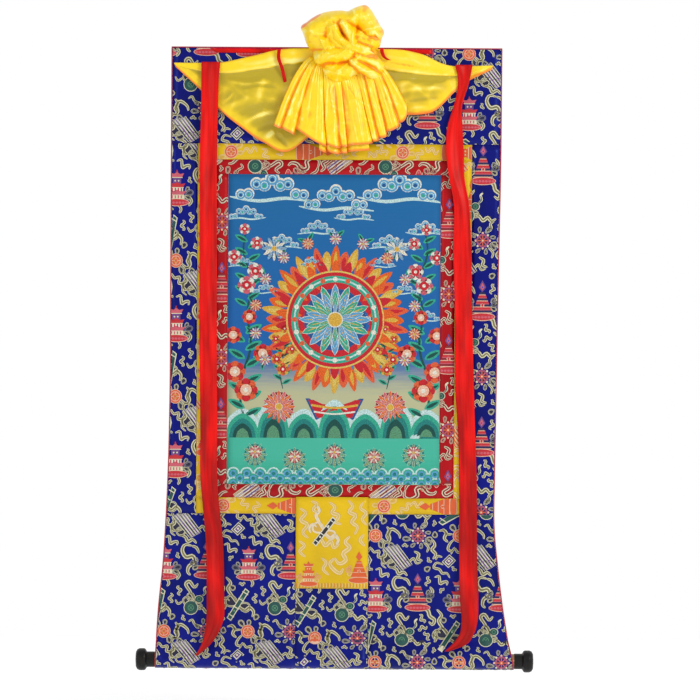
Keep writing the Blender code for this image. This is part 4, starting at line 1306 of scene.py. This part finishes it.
STREAMER_RIGHT = (("down", "left", "right", "front", "turn"),
                  (0.034, 0.250, 0.288, 0.0150, 0.000),
                  (0.056, 0.256, 0.284, 0.0180, 0.003),
                  (0.077, 0.257, 0.279, 0.0190, 0.005),
                  (0.120, 0.249, 0.266, 0.0190, 0.006),
                  (0.162, 0.236, 0.267, 0.0160, 0.003),
                  (0.215, 0.233, 0.270, 0.0130, -0.003),
                  (0.270, 0.239, 0.272, 0.0120, -0.004),
                  (0.321, 0.249, 0.281, 0.0110, 0.000),
                  (0.427, 0.249, 0.288, 0.0080, 0.001),
                  (0.533, 0.253, 0.290, 0.0080, -0.001),
                  (0.745, 0.257, 0.296, 0.0080, 0.001),
                  (0.809, 0.262, 0.298, 0.0080, 0.002),
                  (0.915, 0.265, 0.302, 0.0090, 0.002),
                  (1.084, 0.266, 0.304, 0.0130, -0.002),
                  (1.169, 0.268, 0.307, 0.0200, -0.003),
                  (1.212, 0.271, 0.305, 0.0230, -0.001),
                  (1.241, 0.266, 0.296, 0.0240, 0.001),
                  (1.262, 0.250, 0.278, 0.0240, 0.001),
                  (1.275, 0.236, 0.244, 0.0240, 0.000))
TIE_LEFT = (("down", "left", "right", "front", "turn"),
            (0.003, -0.1250, -0.1175, 0.0270, 0.000),
            (0.020, -0.1265, -0.1190, 0.0270, 0.000),
            (0.046, -0.1185, -0.1110, 0.0220, 0.000),
            (0.080, -0.1110, -0.1040, 0.0160, 0.000))
TIE_RIGHT = (("down", "left", "right", "front", "turn"),
             (0.001, 0.0910, 0.0990, 0.0280, 0.000),
             (0.012, 0.0930, 0.1010, 0.0290, 0.000),
             (0.021, 0.0985, 0.1065, 0.0280, 0.000),
             (0.026, 0.1060, 0.1150, 0.0270, 0.000))
BAND = (-0.269, 0.203, 0.0008, 0.0105)  # left, right, upper edge, lower edge
BAND_THICK = 0.001
BAND_SLANT = 0.014
SOFT_FOLD = 0.0016


def hanging_ribbon(name, table, rows, columns, folds=0.0, phase=0.0):
    """A ribbon that hangs: edges and distance in front by table, leaning forward on the right by
    the turn, with soft lengthwise folds that drift from side to side down it."""
    known = np.array(table[1:], float)[:, 0]
    down = np.linspace(known[0], known[-1], rows)
    left, right = column(table, "left", down), column(table, "right", down)
    front, lean = column(table, "front", down)[:, None], column(table, "turn", down)[:, None]
    across = np.linspace(0, 1, columns)
    x = left[:, None] + (right - left)[:, None] * across
    drift = 1.6 * np.sin(5.2 * down + phase) + 0.7 * np.sin(13.0 * down + 2 * phase)
    wide = np.clip((right - left) / 0.03, 0.1, 1)[:, None]
    ripple = np.sin(2 * math.pi * (1.1 * across + 0.22 * drift[:, None])) * np.sin(math.pi * across) ** 0.5
    cross = np.sin(34.0 * down[:, None] + 2.0 * across + phase) * 0.35
    forward = front + lean * (2 * across - 1) + folds * wide * (ripple + cross)
    below = np.broadcast_to(down[:, None], x.shape)
    points = np.stack([x, -(forward + wave(x, below)), -below], axis=-1)
    marks = np.stack([np.broadcast_to(across * RIBBON_WIDTH, x.shape), below], axis=-1)
    return closed_sheet(name, points, RIBBON, marks)


def satin_material():
    """Bright red satin: a strong sheen broken by fine warp lines, and broad darker and lighter stretches
    of painted shade and painted sheen, with painted shade deepening further down the cloth.
    """
    made, shader = start_material("red_satin")
    cut = mark(shader, "cut")
    # painted sheen and shade: broad patches and lengthwise streaks swing the colour from dark red to a
    # painted highlight
    sheen_and_shade_patches = cut.noise(22.0, 7.0, 2.0)
    warp = cut.noise(2400.0, 60.0, 1.0)
    sheen_and_shade_streaks = cut.noise(160.0, 9.0, 2.0)
    down = cut.part(1)
    # painted shade: darker from 0.62 m down the cloth
    lower_painted_shade = down.step(0.62, 1.05) * 0.16
    tone = (sheen_and_shade_patches * 0.75 + sheen_and_shade_streaks * 0.35 - lower_painted_shade).step(0.30, 0.68)
    set_shader(shader, Base_Color=tone.mix((0.32, 0.0008, 0.002), (0.84, 0.003, 0.002)),
               Roughness=0.34 + warp * 0.14, Specular_IOR_Level=0.5, Specular_Tint=(1.0, 0.4, 0.35),
               Sheen_Weight=0.12, Sheen_Roughness=0.3, Sheen_Tint=(1.0, 0.35, 0.3),
               Normal=warp.bump(0.12))
    return made


red_satin = satin_material()
for node, table, rows, columns, folds, flat, area in (
        ("streamer_left", STREAMER_LEFT, 340, 22, SOFT_FOLD, (RIBBON_WIDTH, 1.26), None),
        ("streamer_right", STREAMER_RIGHT, 340, 22, SOFT_FOLD, (RIBBON_WIDTH, 1.25), None),
        ("tie_left", TIE_LEFT, 40, 6, 0.0, (0.010, 0.078), 0.00058),
        ("tie_right", TIE_RIGHT, 24, 6, 0.0, (0.010, 0.030), 0.00024)):
    piece = hanging_ribbon("satin_" + node, table, rows, columns, folds, 1.0 if "left" in node else 2.4)
    finish_cloth(piece, red_satin, node, flat)
left, right, upper, lower = BAND
across, drop = np.meshgrid(np.linspace(0, 1, 60), np.linspace(0, 1, 5))
x = left + (right - left) * across + BAND_SLANT * (1 - across) * drop
down = upper + (lower - upper) * drop
points = np.stack([x, -(SHEET / 2 + SEAM + BAND_THICK / 2 + wave(x, down)), -down], axis=-1)
tape = closed_sheet("satin_top_band", points, BAND_THICK)
finish_cloth(tape, red_satin, "hanging_band", (0.472, 0.0100))

# ---------------------------------------------------------------- Veil
# A cover of thin yellow silk, hemmed in orange, is lifted off the painting and tied at the top edge.
# Two wings lie flat out to the ribbons, a pleated fan hangs in front, and the rest is pulled through
# the knot as a soft bunch, which shows a little of its red facing at the left.
VEIL = 0.0016
WINGS = (("place", "x_top", "down_top", "x_low", "down_low", "front", "fold"),
         (0.00, -0.3445, 0.033, -0.341, 0.041, 0.0060, 0.000),
         (0.08, -0.2880, 0.033, -0.288, 0.090, 0.0080, 0.002),
         (0.15, -0.2460, 0.032, -0.247, 0.132, 0.0100, 0.004),
         (0.25, -0.1800, 0.018, -0.201, 0.169, 0.0130, 0.006),
         (0.34, -0.1190, 0.004, -0.155, 0.200, 0.0160, 0.007),
         (0.42, -0.0615, 0.001, -0.098, 0.218, 0.0180, 0.006),
         (0.48, -0.0250, 0.001, -0.036, 0.170, 0.0180, 0.003),
         (0.54, 0.0400, 0.001, 0.030, 0.130, 0.0180, 0.002),
         (0.62, 0.0950, 0.002, 0.085, 0.140, 0.0180, 0.004),
         (0.69, 0.1335, 0.003, 0.144, 0.141, 0.0160, 0.006),
         (0.77, 0.1800, 0.012, 0.203, 0.134, 0.0130, 0.006),
         (0.86, 0.2225, 0.031, 0.252, 0.090, 0.0100, 0.004),
         (0.92, 0.2510, 0.037, 0.278, 0.069, 0.0080, 0.002),
         (1.00, 0.3310, 0.035, 0.329, 0.043, 0.0060, 0.000))
LAPS = (("x", "lap", "swell"),  # the drop of the turned-over band's edge, and of the swell below it
        (-0.345, 0.0360, 0.0400),
        (-0.288, 0.0490, 0.0700),
        (-0.244, 0.0540, 0.0880),
        (-0.174, 0.0470, 0.0930),
        (-0.087, 0.0330, 0.0930),
        (0.000, 0.0300, 0.0800),
        (0.118, 0.0470, 0.0800),
        (0.203, 0.0560, 0.0880),
        (0.251, 0.0560, 0.0720),
        (0.331, 0.0400, 0.0430))
LAP_STEP = 0.0016  # how sharply the band's edge drops to the cloth below
EDGE_DIP, EDGE_END = 0.0022, 0.04  # how far the top edge curls back, over this share of the drop
WING_SHARE = 1.7  # how much stronger than the table says the pressed creases stand
WING_CREASES = (("x_1", "down_1", "x_2", "down_2", "x_3", "down_3", "rise", "half_width"),
                (-0.242, 0.118, -0.228, 0.108, -0.218, 0.096, 0.0013, 0.0024),
                (-0.236, 0.124, -0.214, 0.118, -0.186, 0.105, 0.0010, 0.0050),
                (-0.232, 0.060, -0.196, 0.064, -0.150, 0.056, -0.0012, 0.0035),
                (-0.226, 0.072, -0.186, 0.078, -0.138, 0.072, 0.0010, 0.0040),
                (-0.198, 0.086, -0.170, 0.080, -0.128, 0.084, -0.0014, 0.0030),
                (-0.204, 0.142, -0.176, 0.128, -0.142, 0.120, -0.0012, 0.0045),
                (-0.190, 0.158, -0.160, 0.142, -0.128, 0.138, 0.0016, 0.0050),
                (-0.170, 0.178, -0.146, 0.164, -0.120, 0.162, -0.0016, 0.0040),
                (-0.152, 0.192, -0.132, 0.180, -0.114, 0.186, 0.0018, 0.0040),
                (-0.130, 0.176, -0.118, 0.192, -0.104, 0.208, -0.0020, 0.0040),
                (-0.200, 0.036, -0.160, 0.030, -0.124, 0.020, 0.0010, 0.0050),
                (-0.120, 0.014, -0.096, 0.018, -0.074, 0.014, -0.0010, 0.0026),
                (-0.116, 0.024, -0.090, 0.028, -0.070, 0.026, 0.0010, 0.0024),
                (0.100, 0.018, 0.146, 0.022, 0.196, 0.038, 0.0012, 0.0060),
                (0.108, 0.030, 0.150, 0.036, 0.222, 0.050, -0.0010, 0.0030),
                (0.126, 0.066, 0.168, 0.064, 0.226, 0.068, -0.0010, 0.0040),
                (0.132, 0.092, 0.166, 0.086, 0.220, 0.084, 0.0010, 0.0050),
                (0.146, 0.114, 0.176, 0.108, 0.214, 0.104, -0.0010, 0.0040),
                (0.150, 0.128, 0.172, 0.124, 0.196, 0.126, 0.0012, 0.0040),
                (-0.334, 0.042, -0.312, 0.050, -0.294, 0.064, 0.0008, 0.0030),
                (0.262, 0.048, 0.290, 0.048, 0.318, 0.042, 0.0010, 0.0024),
                (0.264, 0.060, 0.286, 0.056, 0.306, 0.048, -0.0009, 0.0022))


def pressed(x, down, creases):
    """Soft ridges and troughs pressed into cloth: along each crease's smooth line a bell of its
    half width, whose rise grows from nothing at both ends."""
    relief = np.zeros(np.broadcast(x, down).shape)
    spots = len(creases[0]) // 2 - 1
    for row in creases[1:]:
        knots = np.array(row[:2 * spots]).reshape(spots, 2)
        line = smooth_line(knots, 25)
        squared = (x[..., None] - line[:, 0]) ** 2 + (down[..., None] - line[:, 1]) ** 2
        nearest = squared.argmin(axis=-1)
        gap = np.take_along_axis(squared, nearest[..., None], axis=-1)[..., 0]
        swell = np.sin(math.pi * (nearest + 0.5) / 25) ** 0.6
        relief += row[-2] * swell * np.exp(-gap / row[-1] ** 2)
    return relief


def eased(value, low, high):
    """0 up to low, 1 from high on, and a smooth rise between."""
    t = np.clip((value - low) / (high - low), 0, 1)
    return t * t * (3 - 2 * t)


def hollows(height, reach):
    """How deep each grid point lies below the mean of its neighbours, as a share of the reach."""
    mean = height
    for _ in range(4):
        wide = np.pad(mean, 2, mode="edge")
        mean = sum(wide[2 + i:wide.shape[0] - 2 + i, 2 + j:wide.shape[1] - 2 + j]
                   for i in (-2, 0, 2) for j in (-2, 0, 2)) / 9
    return (mean - height) / reach


def silk_sheet(name, middle, tones):
    """A sheet of the veil whose two faces both carry the tones of its grid: how hollow, which sets the
    painted shade and painted highlight, how much the blue shows through a single layer, with painted shade
    added in the hollow band of the wings, and how far from the hem it is at each point."""
    made = closed_sheet(name, middle, VEIL)
    tone = made.data.attributes.new("tone", "FLOAT_VECTOR", "POINT")
    both = np.concatenate([tones.reshape(-1, 3), tones.reshape(-1, 3)])
    tone.data.foreach_set("vector", both.astype(np.float32).ravel())
    return made


def hem_distance(middle):
    """The distance of each grid point from the last row, along the cloth."""
    run = np.linalg.norm(np.diff(middle, axis=0), axis=2)
    back = np.cumsum(run[::-1], axis=0)[::-1]
    return np.concatenate([back, np.zeros((1, middle.shape[1]))])


def wings():
    """The flat-lying part: straight lines from its top edge to its hem. The band under the top edge
    is turned over and stands proud, the cloth below it is hollow, then swells again."""
    u = np.linspace(0, 1, 190)
    v = np.linspace(0, 1, 50)[:, None]
    x = (1 - v) * column(WINGS, "x_top", u) + v * column(WINGS, "x_low", u)
    down = (1 - v) * column(WINGS, "down_top", u) + v * column(WINGS, "down_low", u)
    lap, swell = column(LAPS, "lap", x), column(LAPS, "swell", x)
    past = down - lap
    band_part = 1 - eased(past, -LAP_STEP, LAP_STEP)
    swelling = eased(down, lap, swell) * (1 - 0.8 * eased(down, swell, swell + 0.075))
    fold = column(WINGS, "fold", u)
    forward = column(WINGS, "front", u) * (1 - 0.3 * v)
    forward = forward + fold * (0.85 * band_part - 0.55 + 0.95 * swelling)
    forward = forward - EDGE_DIP * eased(EDGE_END - v, 0.0, EDGE_END)
    forward = forward + WING_SHARE * pressed(x, down, WING_CREASES)
    forward = forward + crumpled(x, down, 0.06, 0.0011, 0.3)
    middle = np.stack([x, -(forward + wave(x, down)), -down], axis=-1)
    # The second tone turns one layer over the blue olive, less so near the lower edge; its 1 - swelling
    # part is painted shade in the hollow band under the turned-over edge. The first tone, the hollows,
    # sets painted shade and painted highlight.
    bright_low = 1 - 0.75 * np.exp(-((down - column(WINGS, "down_low", u)) / 0.028) ** 2)
    sheer_and_shade = (1 - band_part) * bright_low * (0.62 + 0.38 * (1 - swelling))
    tones = np.stack([hollows(forward, 0.0009) * 0.45, sheer_and_shade, hem_distance(middle)], axis=-1)
    return silk_sheet("veil_wings", middle, tones)


FAN = (("place", "x_top", "down_top", "x_hem", "down_hem", "bulge"),
       (0.00, -0.052, 0.018, -0.132, 0.166, -0.014),
       (0.10, -0.044, 0.030, -0.096, 0.183, -0.008),
       (0.24, -0.030, 0.038, -0.040, 0.206, 0.000),
       (0.38, -0.010, 0.042, 0.005, 0.213, 0.000),
       (0.50, 0.012, 0.043, 0.036, 0.208, 0.000),
       (0.62, 0.036, 0.043, 0.068, 0.204, 0.000),
       (0.74, 0.056, 0.043, 0.093, 0.196, 0.000),
       (0.86, 0.074, 0.042, 0.121, 0.175, 0.003),
       (0.95, 0.086, 0.040, 0.144, 0.151, 0.006),
       (1.00, 0.092, 0.036, 0.150, 0.124, 0.006))
PLEATS = (("top", "hem", "rise", "lean", "hem_lift"),  # where each begins, its rise, its lean to +X
          (0.000, 0.000, 0.0060, -0.0020, 0.000),
          (0.055, 0.040, 0.0075, 0.0010, 0.002),
          (0.130, 0.120, 0.0140, 0.0040, 0.015),
          (0.250, 0.300, 0.0095, -0.0030, 0.007),
          (0.395, 0.395, 0.0060, 0.0020, 0.003),
          (0.470, 0.450, 0.0130, 0.0035, 0.002),
          (0.640, 0.665, 0.0090, -0.0020, 0.005),
          (0.730, 0.725, 0.0075, 0.0020, 0.008),
          (0.830, 0.800, 0.0085, 0.0020, 0.010),
          (0.925, 0.905, 0.0080, 0.0030, 0.006),
          (1.000, 1.000, 0.0000, 0.0000, 0.000))
FAN_CREASES = (("x_1", "down_1", "x_2", "down_2", "x_3", "down_3", "rise", "half_width"),
               (-0.070, 0.085, -0.071, 0.120, -0.073, 0.172, 0.0022, 0.0050),
               (-0.088, 0.090, -0.096, 0.130, -0.106, 0.166, 0.0012, 0.0030),
               (-0.052, 0.070, -0.054, 0.110, -0.058, 0.160, -0.0010, 0.0050),
               (-0.008, 0.078, -0.012, 0.100, 0.002, 0.160, 0.0024, 0.0022),
               (0.002, 0.160, 0.008, 0.180, 0.014, 0.200, 0.0018, 0.0030),
               (0.014, 0.088, 0.022, 0.120, 0.028, 0.180, -0.0012, 0.0040),
               (0.022, 0.080, 0.034, 0.096, 0.048, 0.118, -0.0010, 0.0022),
               (0.030, 0.082, 0.040, 0.130, 0.050, 0.192, 0.0014, 0.0060),
               (0.066, 0.080, 0.080, 0.130, 0.090, 0.180, 0.0014, 0.0040),
               (0.092, 0.074, 0.112, 0.100, 0.134, 0.132, 0.0024, 0.0060),
               (0.082, 0.098, 0.096, 0.130, 0.106, 0.160, -0.0010, 0.0030))
FAN_FRONT_TOP, FAN_FRONT_HEM = 0.030, 0.036
GATHERS, GATHER_RISE, GATHER_END = 46, 0.0013, 0.22
RIDGES, RIDGE_RISE = 19, 0.0026
HEM_ROLL = 0.0022
CREASE_SHARE = 1.5  # how much stronger than the tables say the pressed creases stand


def fan(name="veil_fan", behind=0.0, lower=0.0, ends=(0.0, 1.0), columns=280, rows=46):
    """The pleated skirt: straight lines from the gather to the hem. Across, each pleat is a flat
    crest between two narrow hollows, 1 - |2t - 1| to the fourth, leaning to one side. Its hem
    lifts in the hollows, small gathers run down from the top, and fine sharp ridges, 1 - |sin|
    squared, run the whole way."""
    u = np.linspace(*ends, columns)
    v = np.linspace(0, 1, rows)[:, None]
    starts = np.array(PLEATS[1:], float)
    edges = (1 - v) * starts[:, 0] + v * starts[:, 1]
    n = np.clip((u[None, :, None] >= edges[:, None]).sum(axis=-1) - 1, 0, len(starts) - 2)
    row = np.arange(rows)[:, None]
    t = (u - edges[row, n]) / (edges[row, n + 1] - edges[row, n])
    crest = 1 - np.abs(2 * t - 1) ** 4
    rise, lean, lift = (starts[:, k][n] for k in (2, 3, 4))
    bulge = column(FAN, "bulge", u) * np.sin(math.pi * v ** 0.6)
    opened = 0.25 + 0.75 * v ** 0.8
    down_hem = column(FAN, "down_hem", u) + lower - lift * (1 - t) ** 2
    x = (1 - v) * column(FAN, "x_top", u) + v * column(FAN, "x_hem", u) + bulge + lean * crest * opened
    down = (1 - v) * column(FAN, "down_top", u) + v * down_hem
    gathers = np.sin(2 * math.pi * (GATHERS * u + 2.2 * np.sin(9 * u)))
    gathers = gathers * GATHER_RISE * np.exp(-(v / GATHER_END) ** 2)
    rolled = eased(v, 0.93, 1.0) * np.sin(5 * math.pi * u + 1) * HEM_ROLL
    phase = RIDGES * u + 1.3 * np.sin(7 * u) + 0.5 * v * np.sin(23 * u)
    ridges = (1 - np.abs(np.sin(math.pi * phase))) ** 2 * (0.35 + 0.65 * np.sin(11 * u + 2 * v) ** 2)
    fine = RIDGE_RISE * ridges * np.sin(math.pi * np.clip(v * 1.02, 0, 1)) ** 0.4
    creased = CREASE_SHARE * pressed(x, down, FAN_CREASES) + crumpled(x, down, 0.045, 0.0013, 1.1)
    forward = FAN_FRONT_TOP + (FAN_FRONT_HEM - FAN_FRONT_TOP) * v - behind
    forward = forward + rise * crest * opened + gathers + creased + rolled + fine
    middle = np.stack([x, -forward, -down], axis=-1)
    # The first tone sets painted shade, golden orange, in the hollows and between the pleats' crests, and
    # painted highlight on the sharp ridges.
    tones = np.stack([hollows(forward, 0.0016) * 0.8 + (1 - crest) * 0.95, np.zeros(x.shape),
                      hem_distance(middle)], axis=-1)
    return silk_sheet(name, middle, tones)


BUNCH_MIDDLE = (0.0064, 0.0074)  # x, and height above the top edge
BUNCH = (("turn", "reach"),
         (-180, 0.070), (-160, 0.060), (-144, 0.066), (-128, 0.064), (-112, 0.075), (-96, 0.082),
         (-80, 0.082), (-68, 0.074), (-56, 0.080), (-46, 0.103), (-38, 0.109), (-30, 0.106),
         (-24, 0.104), (-18, 0.084), (-12, 0.074), (-4, 0.084), (7, 0.089), (15, 0.0965),
         (26, 0.094), (38, 0.095), (48, 0.098), (57, 0.0985), (66, 0.086), (76, 0.072),
         (86, 0.071), (100, 0.0715), (122, 0.0760), (146, 0.0835), (158, 0.0890), (163, 0.082),
         (180, 0.070))
BUNCH_REST, BUNCH_BACK = 0.026, 0.018  # where its rim lies in front, and how far it bulges behind
PILLOW_MIDDLE, PILLOW_SOFT = 0.030, 0.0016  # the level that rises are joined about, and how softly
PILLOWS = (("x_1", "down_1", "x_2", "down_2", "x_3", "down_3", "rise", "half_width", "slope"),
           (0.022, -0.060, 0.052, -0.062, 0.074, -0.036, 0.046, 0.032, 0.7),
           (0.050, -0.018, 0.066, -0.008, 0.084, -0.008, 0.037, 0.022, 0.0),
           (-0.006, -0.042, 0.008, -0.014, 0.062, 0.006, 0.048, 0.020, -0.6),
           (0.012, -0.050, 0.024, -0.030, 0.032, -0.006, 0.049, 0.016, 0.5),
           (-0.062, -0.034, -0.030, -0.050, 0.004, -0.064, 0.040, 0.030, -0.3),
           (-0.056, -0.018, -0.036, -0.008, -0.014, 0.002, 0.037, 0.028, 0.0),
           (-0.038, 0.024, -0.006, 0.020, 0.026, 0.016, 0.046, 0.020, 0.4),
           (-0.016, 0.050, 0.004, 0.056, 0.026, 0.048, 0.038, 0.022, 0.0),
           (0.034, 0.034, 0.056, 0.048, 0.084, 0.064, 0.042, 0.014, 0.6),
           (0.046, 0.022, 0.072, 0.030, 0.100, 0.048, 0.040, 0.018, 0.3),
           (0.086, 0.030, 0.106, 0.042, 0.096, 0.058, 0.034, 0.020, 0.0))
BUNCH_CREASES = (("x_1", "down_1", "x_2", "down_2", "x_3", "down_3", "rise", "half_width"),
                 (0.037, -0.043, 0.052, -0.031, 0.075, -0.014, 0.0040, 0.0026),
                 (0.064, -0.075, 0.076, -0.053, 0.094, -0.034, 0.0030, 0.0050),
                 (0.037, -0.041, 0.034, -0.020, 0.034, 0.000, 0.0034, 0.0022),
                 (-0.003, -0.054, -0.002, -0.040, 0.008, -0.027, 0.0026, 0.0024),
                 (0.011, -0.051, 0.019, -0.038, 0.026, -0.019, 0.0026, 0.0026),
                 (-0.013, -0.034, -0.020, -0.018, -0.018, 0.000, 0.0030, 0.0032),
                 (-0.028, -0.046, -0.012, -0.058, 0.004, -0.069, 0.0024, 0.0050),
                 (0.013, 0.000, 0.036, 0.008, 0.060, 0.016, 0.0034, 0.0030),
                 (-0.032, 0.023, -0.008, 0.007, 0.040, 0.009, 0.0036, 0.0046),
                 (0.044, 0.016, 0.028, 0.031, 0.001, 0.052, 0.0032, 0.0024),
                 (0.028, 0.030, 0.052, 0.049, 0.084, 0.071, 0.0042, 0.0040),
                 (0.068, 0.037, 0.084, 0.053, 0.106, 0.062, 0.0026, 0.0026),
                 (-0.027, 0.049, -0.006, 0.069, 0.025, 0.066, 0.0022, 0.0034),
                 (-0.047, 0.031, -0.032, 0.041, 0.001, 0.053, -0.0040, 0.0034),
                 (-0.010, -0.019, 0.010, -0.002, 0.056, 0.018, -0.0046, 0.0032),
                 (0.038, -0.020, 0.052, -0.019, 0.070, -0.011, -0.0050, 0.0036),
                 (-0.011, -0.038, -0.009, -0.026, -0.006, -0.016, -0.0034, 0.0030),
                 (0.040, 0.020, 0.036, 0.030, 0.048, 0.040, -0.0026, 0.0028),
                 (-0.058, -0.006, -0.044, 0.008, -0.030, 0.012, -0.0020, 0.0040),
                 (-0.066, -0.030, -0.046, -0.026, -0.028, -0.030, -0.0018, 0.0050),
                 (0.030, -0.070, 0.044, -0.076, 0.056, -0.080, 0.0018, 0.0040),
                 (0.024, -0.056, 0.044, -0.054, 0.064, -0.058, -0.0018, 0.0040),
                 (0.048, -0.046, 0.064, -0.036, 0.080, -0.026, 0.0016, 0.0050),
                 (-0.040, -0.020, -0.030, -0.006, -0.036, 0.006, 0.0016, 0.0040),
                 (0.006, 0.030, -0.006, 0.040, -0.012, 0.054, 0.0018, 0.0030),
                 (0.060, 0.026, 0.076, 0.036, 0.090, 0.036, 0.0020, 0.0030))


BUNCH_FACING = (("x_1", "down_1", "x_2", "down_2", "x_3", "down_3", "rise", "half_width"),
                (-0.078, -0.038, -0.062, -0.057, -0.030, -0.074, 1.0, 0.0085))


def crumpled(x, down, size, depth, seed):
    """Sharp-crested creases: 1 - |sin| of straight waves in seven directions, each bent by slower
    waves, so that the crests wander and cross."""
    relief = np.zeros(np.broadcast(x, down).shape)
    for k in range(7):
        turn = GOLDEN_TURN * k + seed
        along = x * math.cos(turn) + down * math.sin(turn)
        across = down * math.cos(turn) - x * math.sin(turn)
        bend = 1.1 * np.sin(across / size * 1.9 + 1.7 * k) + 0.6 * np.sin(across / size * 4.1 + k)
        crest = 1 - np.abs(np.sin(math.pi * along / (size * (1 + 0.13 * k)) + bend))
        relief += depth * crest ** 2.2 * (0.5 + 0.5 * np.sin(across / size * 2.3 + 2.1 * k + seed))
    return relief


def bunch_height(x, down):
    """How far the bunch stands forward: the highest of its pillows, each its rise times 1 - 0.62
    (d / w)^2 at d from its curved middle line, steeper on one side of it by the slope, and softly
    joined where two meet; then the pressed creases and the crumpling."""
    total = np.zeros(x.shape)
    for row in PILLOWS[1:]:
        line = smooth_line(np.array(row[:6]).reshape(3, 2), 25)
        squared = (x[..., None] - line[:, 0]) ** 2 + (down[..., None] - line[:, 1]) ** 2
        nearest = squared.argmin(axis=-1)
        gap = np.take_along_axis(squared, nearest[..., None], axis=-1)[..., 0]
        run = np.gradient(line, axis=0)[nearest]
        side = run[..., 0] * (down - line[nearest, 1]) - run[..., 1] * (x - line[nearest, 0])
        width = row[7] * (1 - 0.5 * row[8] * np.tanh(side / 2e-6))
        pillow = row[6] * (1 - 0.62 * gap / width ** 2)
        total = total + np.exp((pillow - PILLOW_MIDDLE) / PILLOW_SOFT)
    height = PILLOW_MIDDLE + PILLOW_SOFT * np.log(total + 1e-9) + 0.8 * pressed(x, down, BUNCH_CREASES)
    return height + crumpled(x, down, 0.040, 0.0026, 0.7) + crumpled(x, down, 0.017, 0.0007, 2.0) - 0.003


def bunch():
    """The gathered bunch: a closed shell over its outline, domed in front by its pillows and
    shallow behind. Each ring is a share s of the outline's reach, and the front falls away at the
    rim by the square root of 1 - s to the ninth."""
    turns, rings, back_rings = 250, 96, 8
    turn = np.linspace(-math.pi, math.pi, turns, endpoint=False)
    reach = column(BUNCH, "reach", np.degrees(turn))
    share = np.concatenate([np.linspace(0.012, 0.97, rings) ** 0.8,
                            np.sqrt(1 - np.linspace(0.17, 0.0, 6) ** 2)])[:, None]
    back_share = np.linspace(1, 0.05, back_rings)[1:, None]
    out = reach * np.concatenate([share, back_share])
    x = BUNCH_MIDDLE[0] + out * np.cos(turn)
    down = -(BUNCH_MIDDLE[1] + out * np.sin(turn))
    front = slice(0, len(share))
    height = np.maximum(bunch_height(x[front], down[front]), 0.006)
    forward = BUNCH_REST - BUNCH_BACK * np.sqrt(1 - np.concatenate([share, back_share]) ** 2)
    forward = np.broadcast_to(forward, x.shape).copy()
    forward[front] = BUNCH_REST + height * np.sqrt(np.clip(1 - share ** 9, 0, 1))
    # The hollows set painted shade, golden orange, and painted highlight, paler, on the crests.
    hollow = np.zeros(x.shape)
    hollow[front] = hollows(height, 0.0022)
    facing = np.abs(pressed(x, down, BUNCH_FACING))
    tones = np.stack([hollow, np.zeros(x.shape), np.clip(1 - 2.2 * facing, 0, 1)], axis=-1)
    points = np.stack([x, -forward, -down], axis=-1)
    ends = [points[0].mean(axis=0), points[-1].mean(axis=0)]
    tones = np.concatenate([tones.reshape(-1, 3), tones[0, :1], tones[-1, -1:]])
    flat = np.concatenate([points.reshape(-1, 3), ends])
    cut = np.c_[flat[:, 0], -flat[:, 2], np.zeros(len(flat))]
    return closed_rings("veil_bunch", points, ends, {"cut": cut, "tone": tones}, forwards=False)


def veil_silk():
    """Thin bright silk: painted shade makes it golden orange in the hollows, in soft patches that also
    wander at random, and a painted highlight makes it paler on the crests. It is olive where a single
    layer lies over the blue, deepened by painted shade in the hollows, with crossing threads of fine weave
    and a hem of orange stitching."""
    made, shader = start_material("veil_silk")
    cut = mark(shader, "cut")
    tone = mark(shader, "tone")
    hollow, sheer_and_shade, hem = (tone.part(axis) for axis in range(3))
    weave = cut.noise(1500.0, 1500.0, 1.0)
    drift = cut.noise(14.0, 22.0, 3.0)
    # painted shade: golden orange in the hollows, spread in soft random patches by the drift
    golden = hollow + drift * 0.9 - 0.45
    body = golden.step(0.05, 1.0).mix((1.0, 0.69, 0.001), (0.98, 0.34, 0.0))
    # painted highlight: paler on the crests
    body = (hollow * -1.0).step(0.25, 1.4).mix(body, (1.0, 0.90, 0.22))
    # olive where one layer lies over the blue, deepened by painted shade in the hollows
    body = (sheer_and_shade * (drift + hollow * 0.8 + 0.5)).step(0.05, 0.85).mix(body, (0.50, 0.37, 0.004))
    edge = hem.step(0.0046, 0.0036)
    stitch = (hem - 0.0055).math("ABSOLUTE").step(0.0009, 0.0004)
    body = (edge * 0.8 + stitch * 0.55).math("MINIMUM", 1.0).mix(body, (0.90, 0.13, 0.008))
    set_shader(shader, Base_Color=body, Roughness=0.30 + drift * 0.16, Specular_IOR_Level=0.6,
               Sheen_Weight=0.25, Sheen_Roughness=0.3, Sheen_Tint=(1.0, 0.9, 0.45),
               Normal=(weave + drift * 2.0).bump(0.15))
    return made


parts = [bunch(), wings(), fan(), fan("veil_fan_under", 0.0095, 0.0130, (0.24, 0.62), 90)]
with bpy.context.temp_override(active_object=parts[0], selected_editable_objects=parts):
    bpy.ops.object.join()
veil = parts[0]
veil.name = "veil_cloth"
finish_cloth(veil, veil_silk(), "veil", (0.68, 0.32))

# ---------------------------------------------------------------- End
low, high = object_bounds()
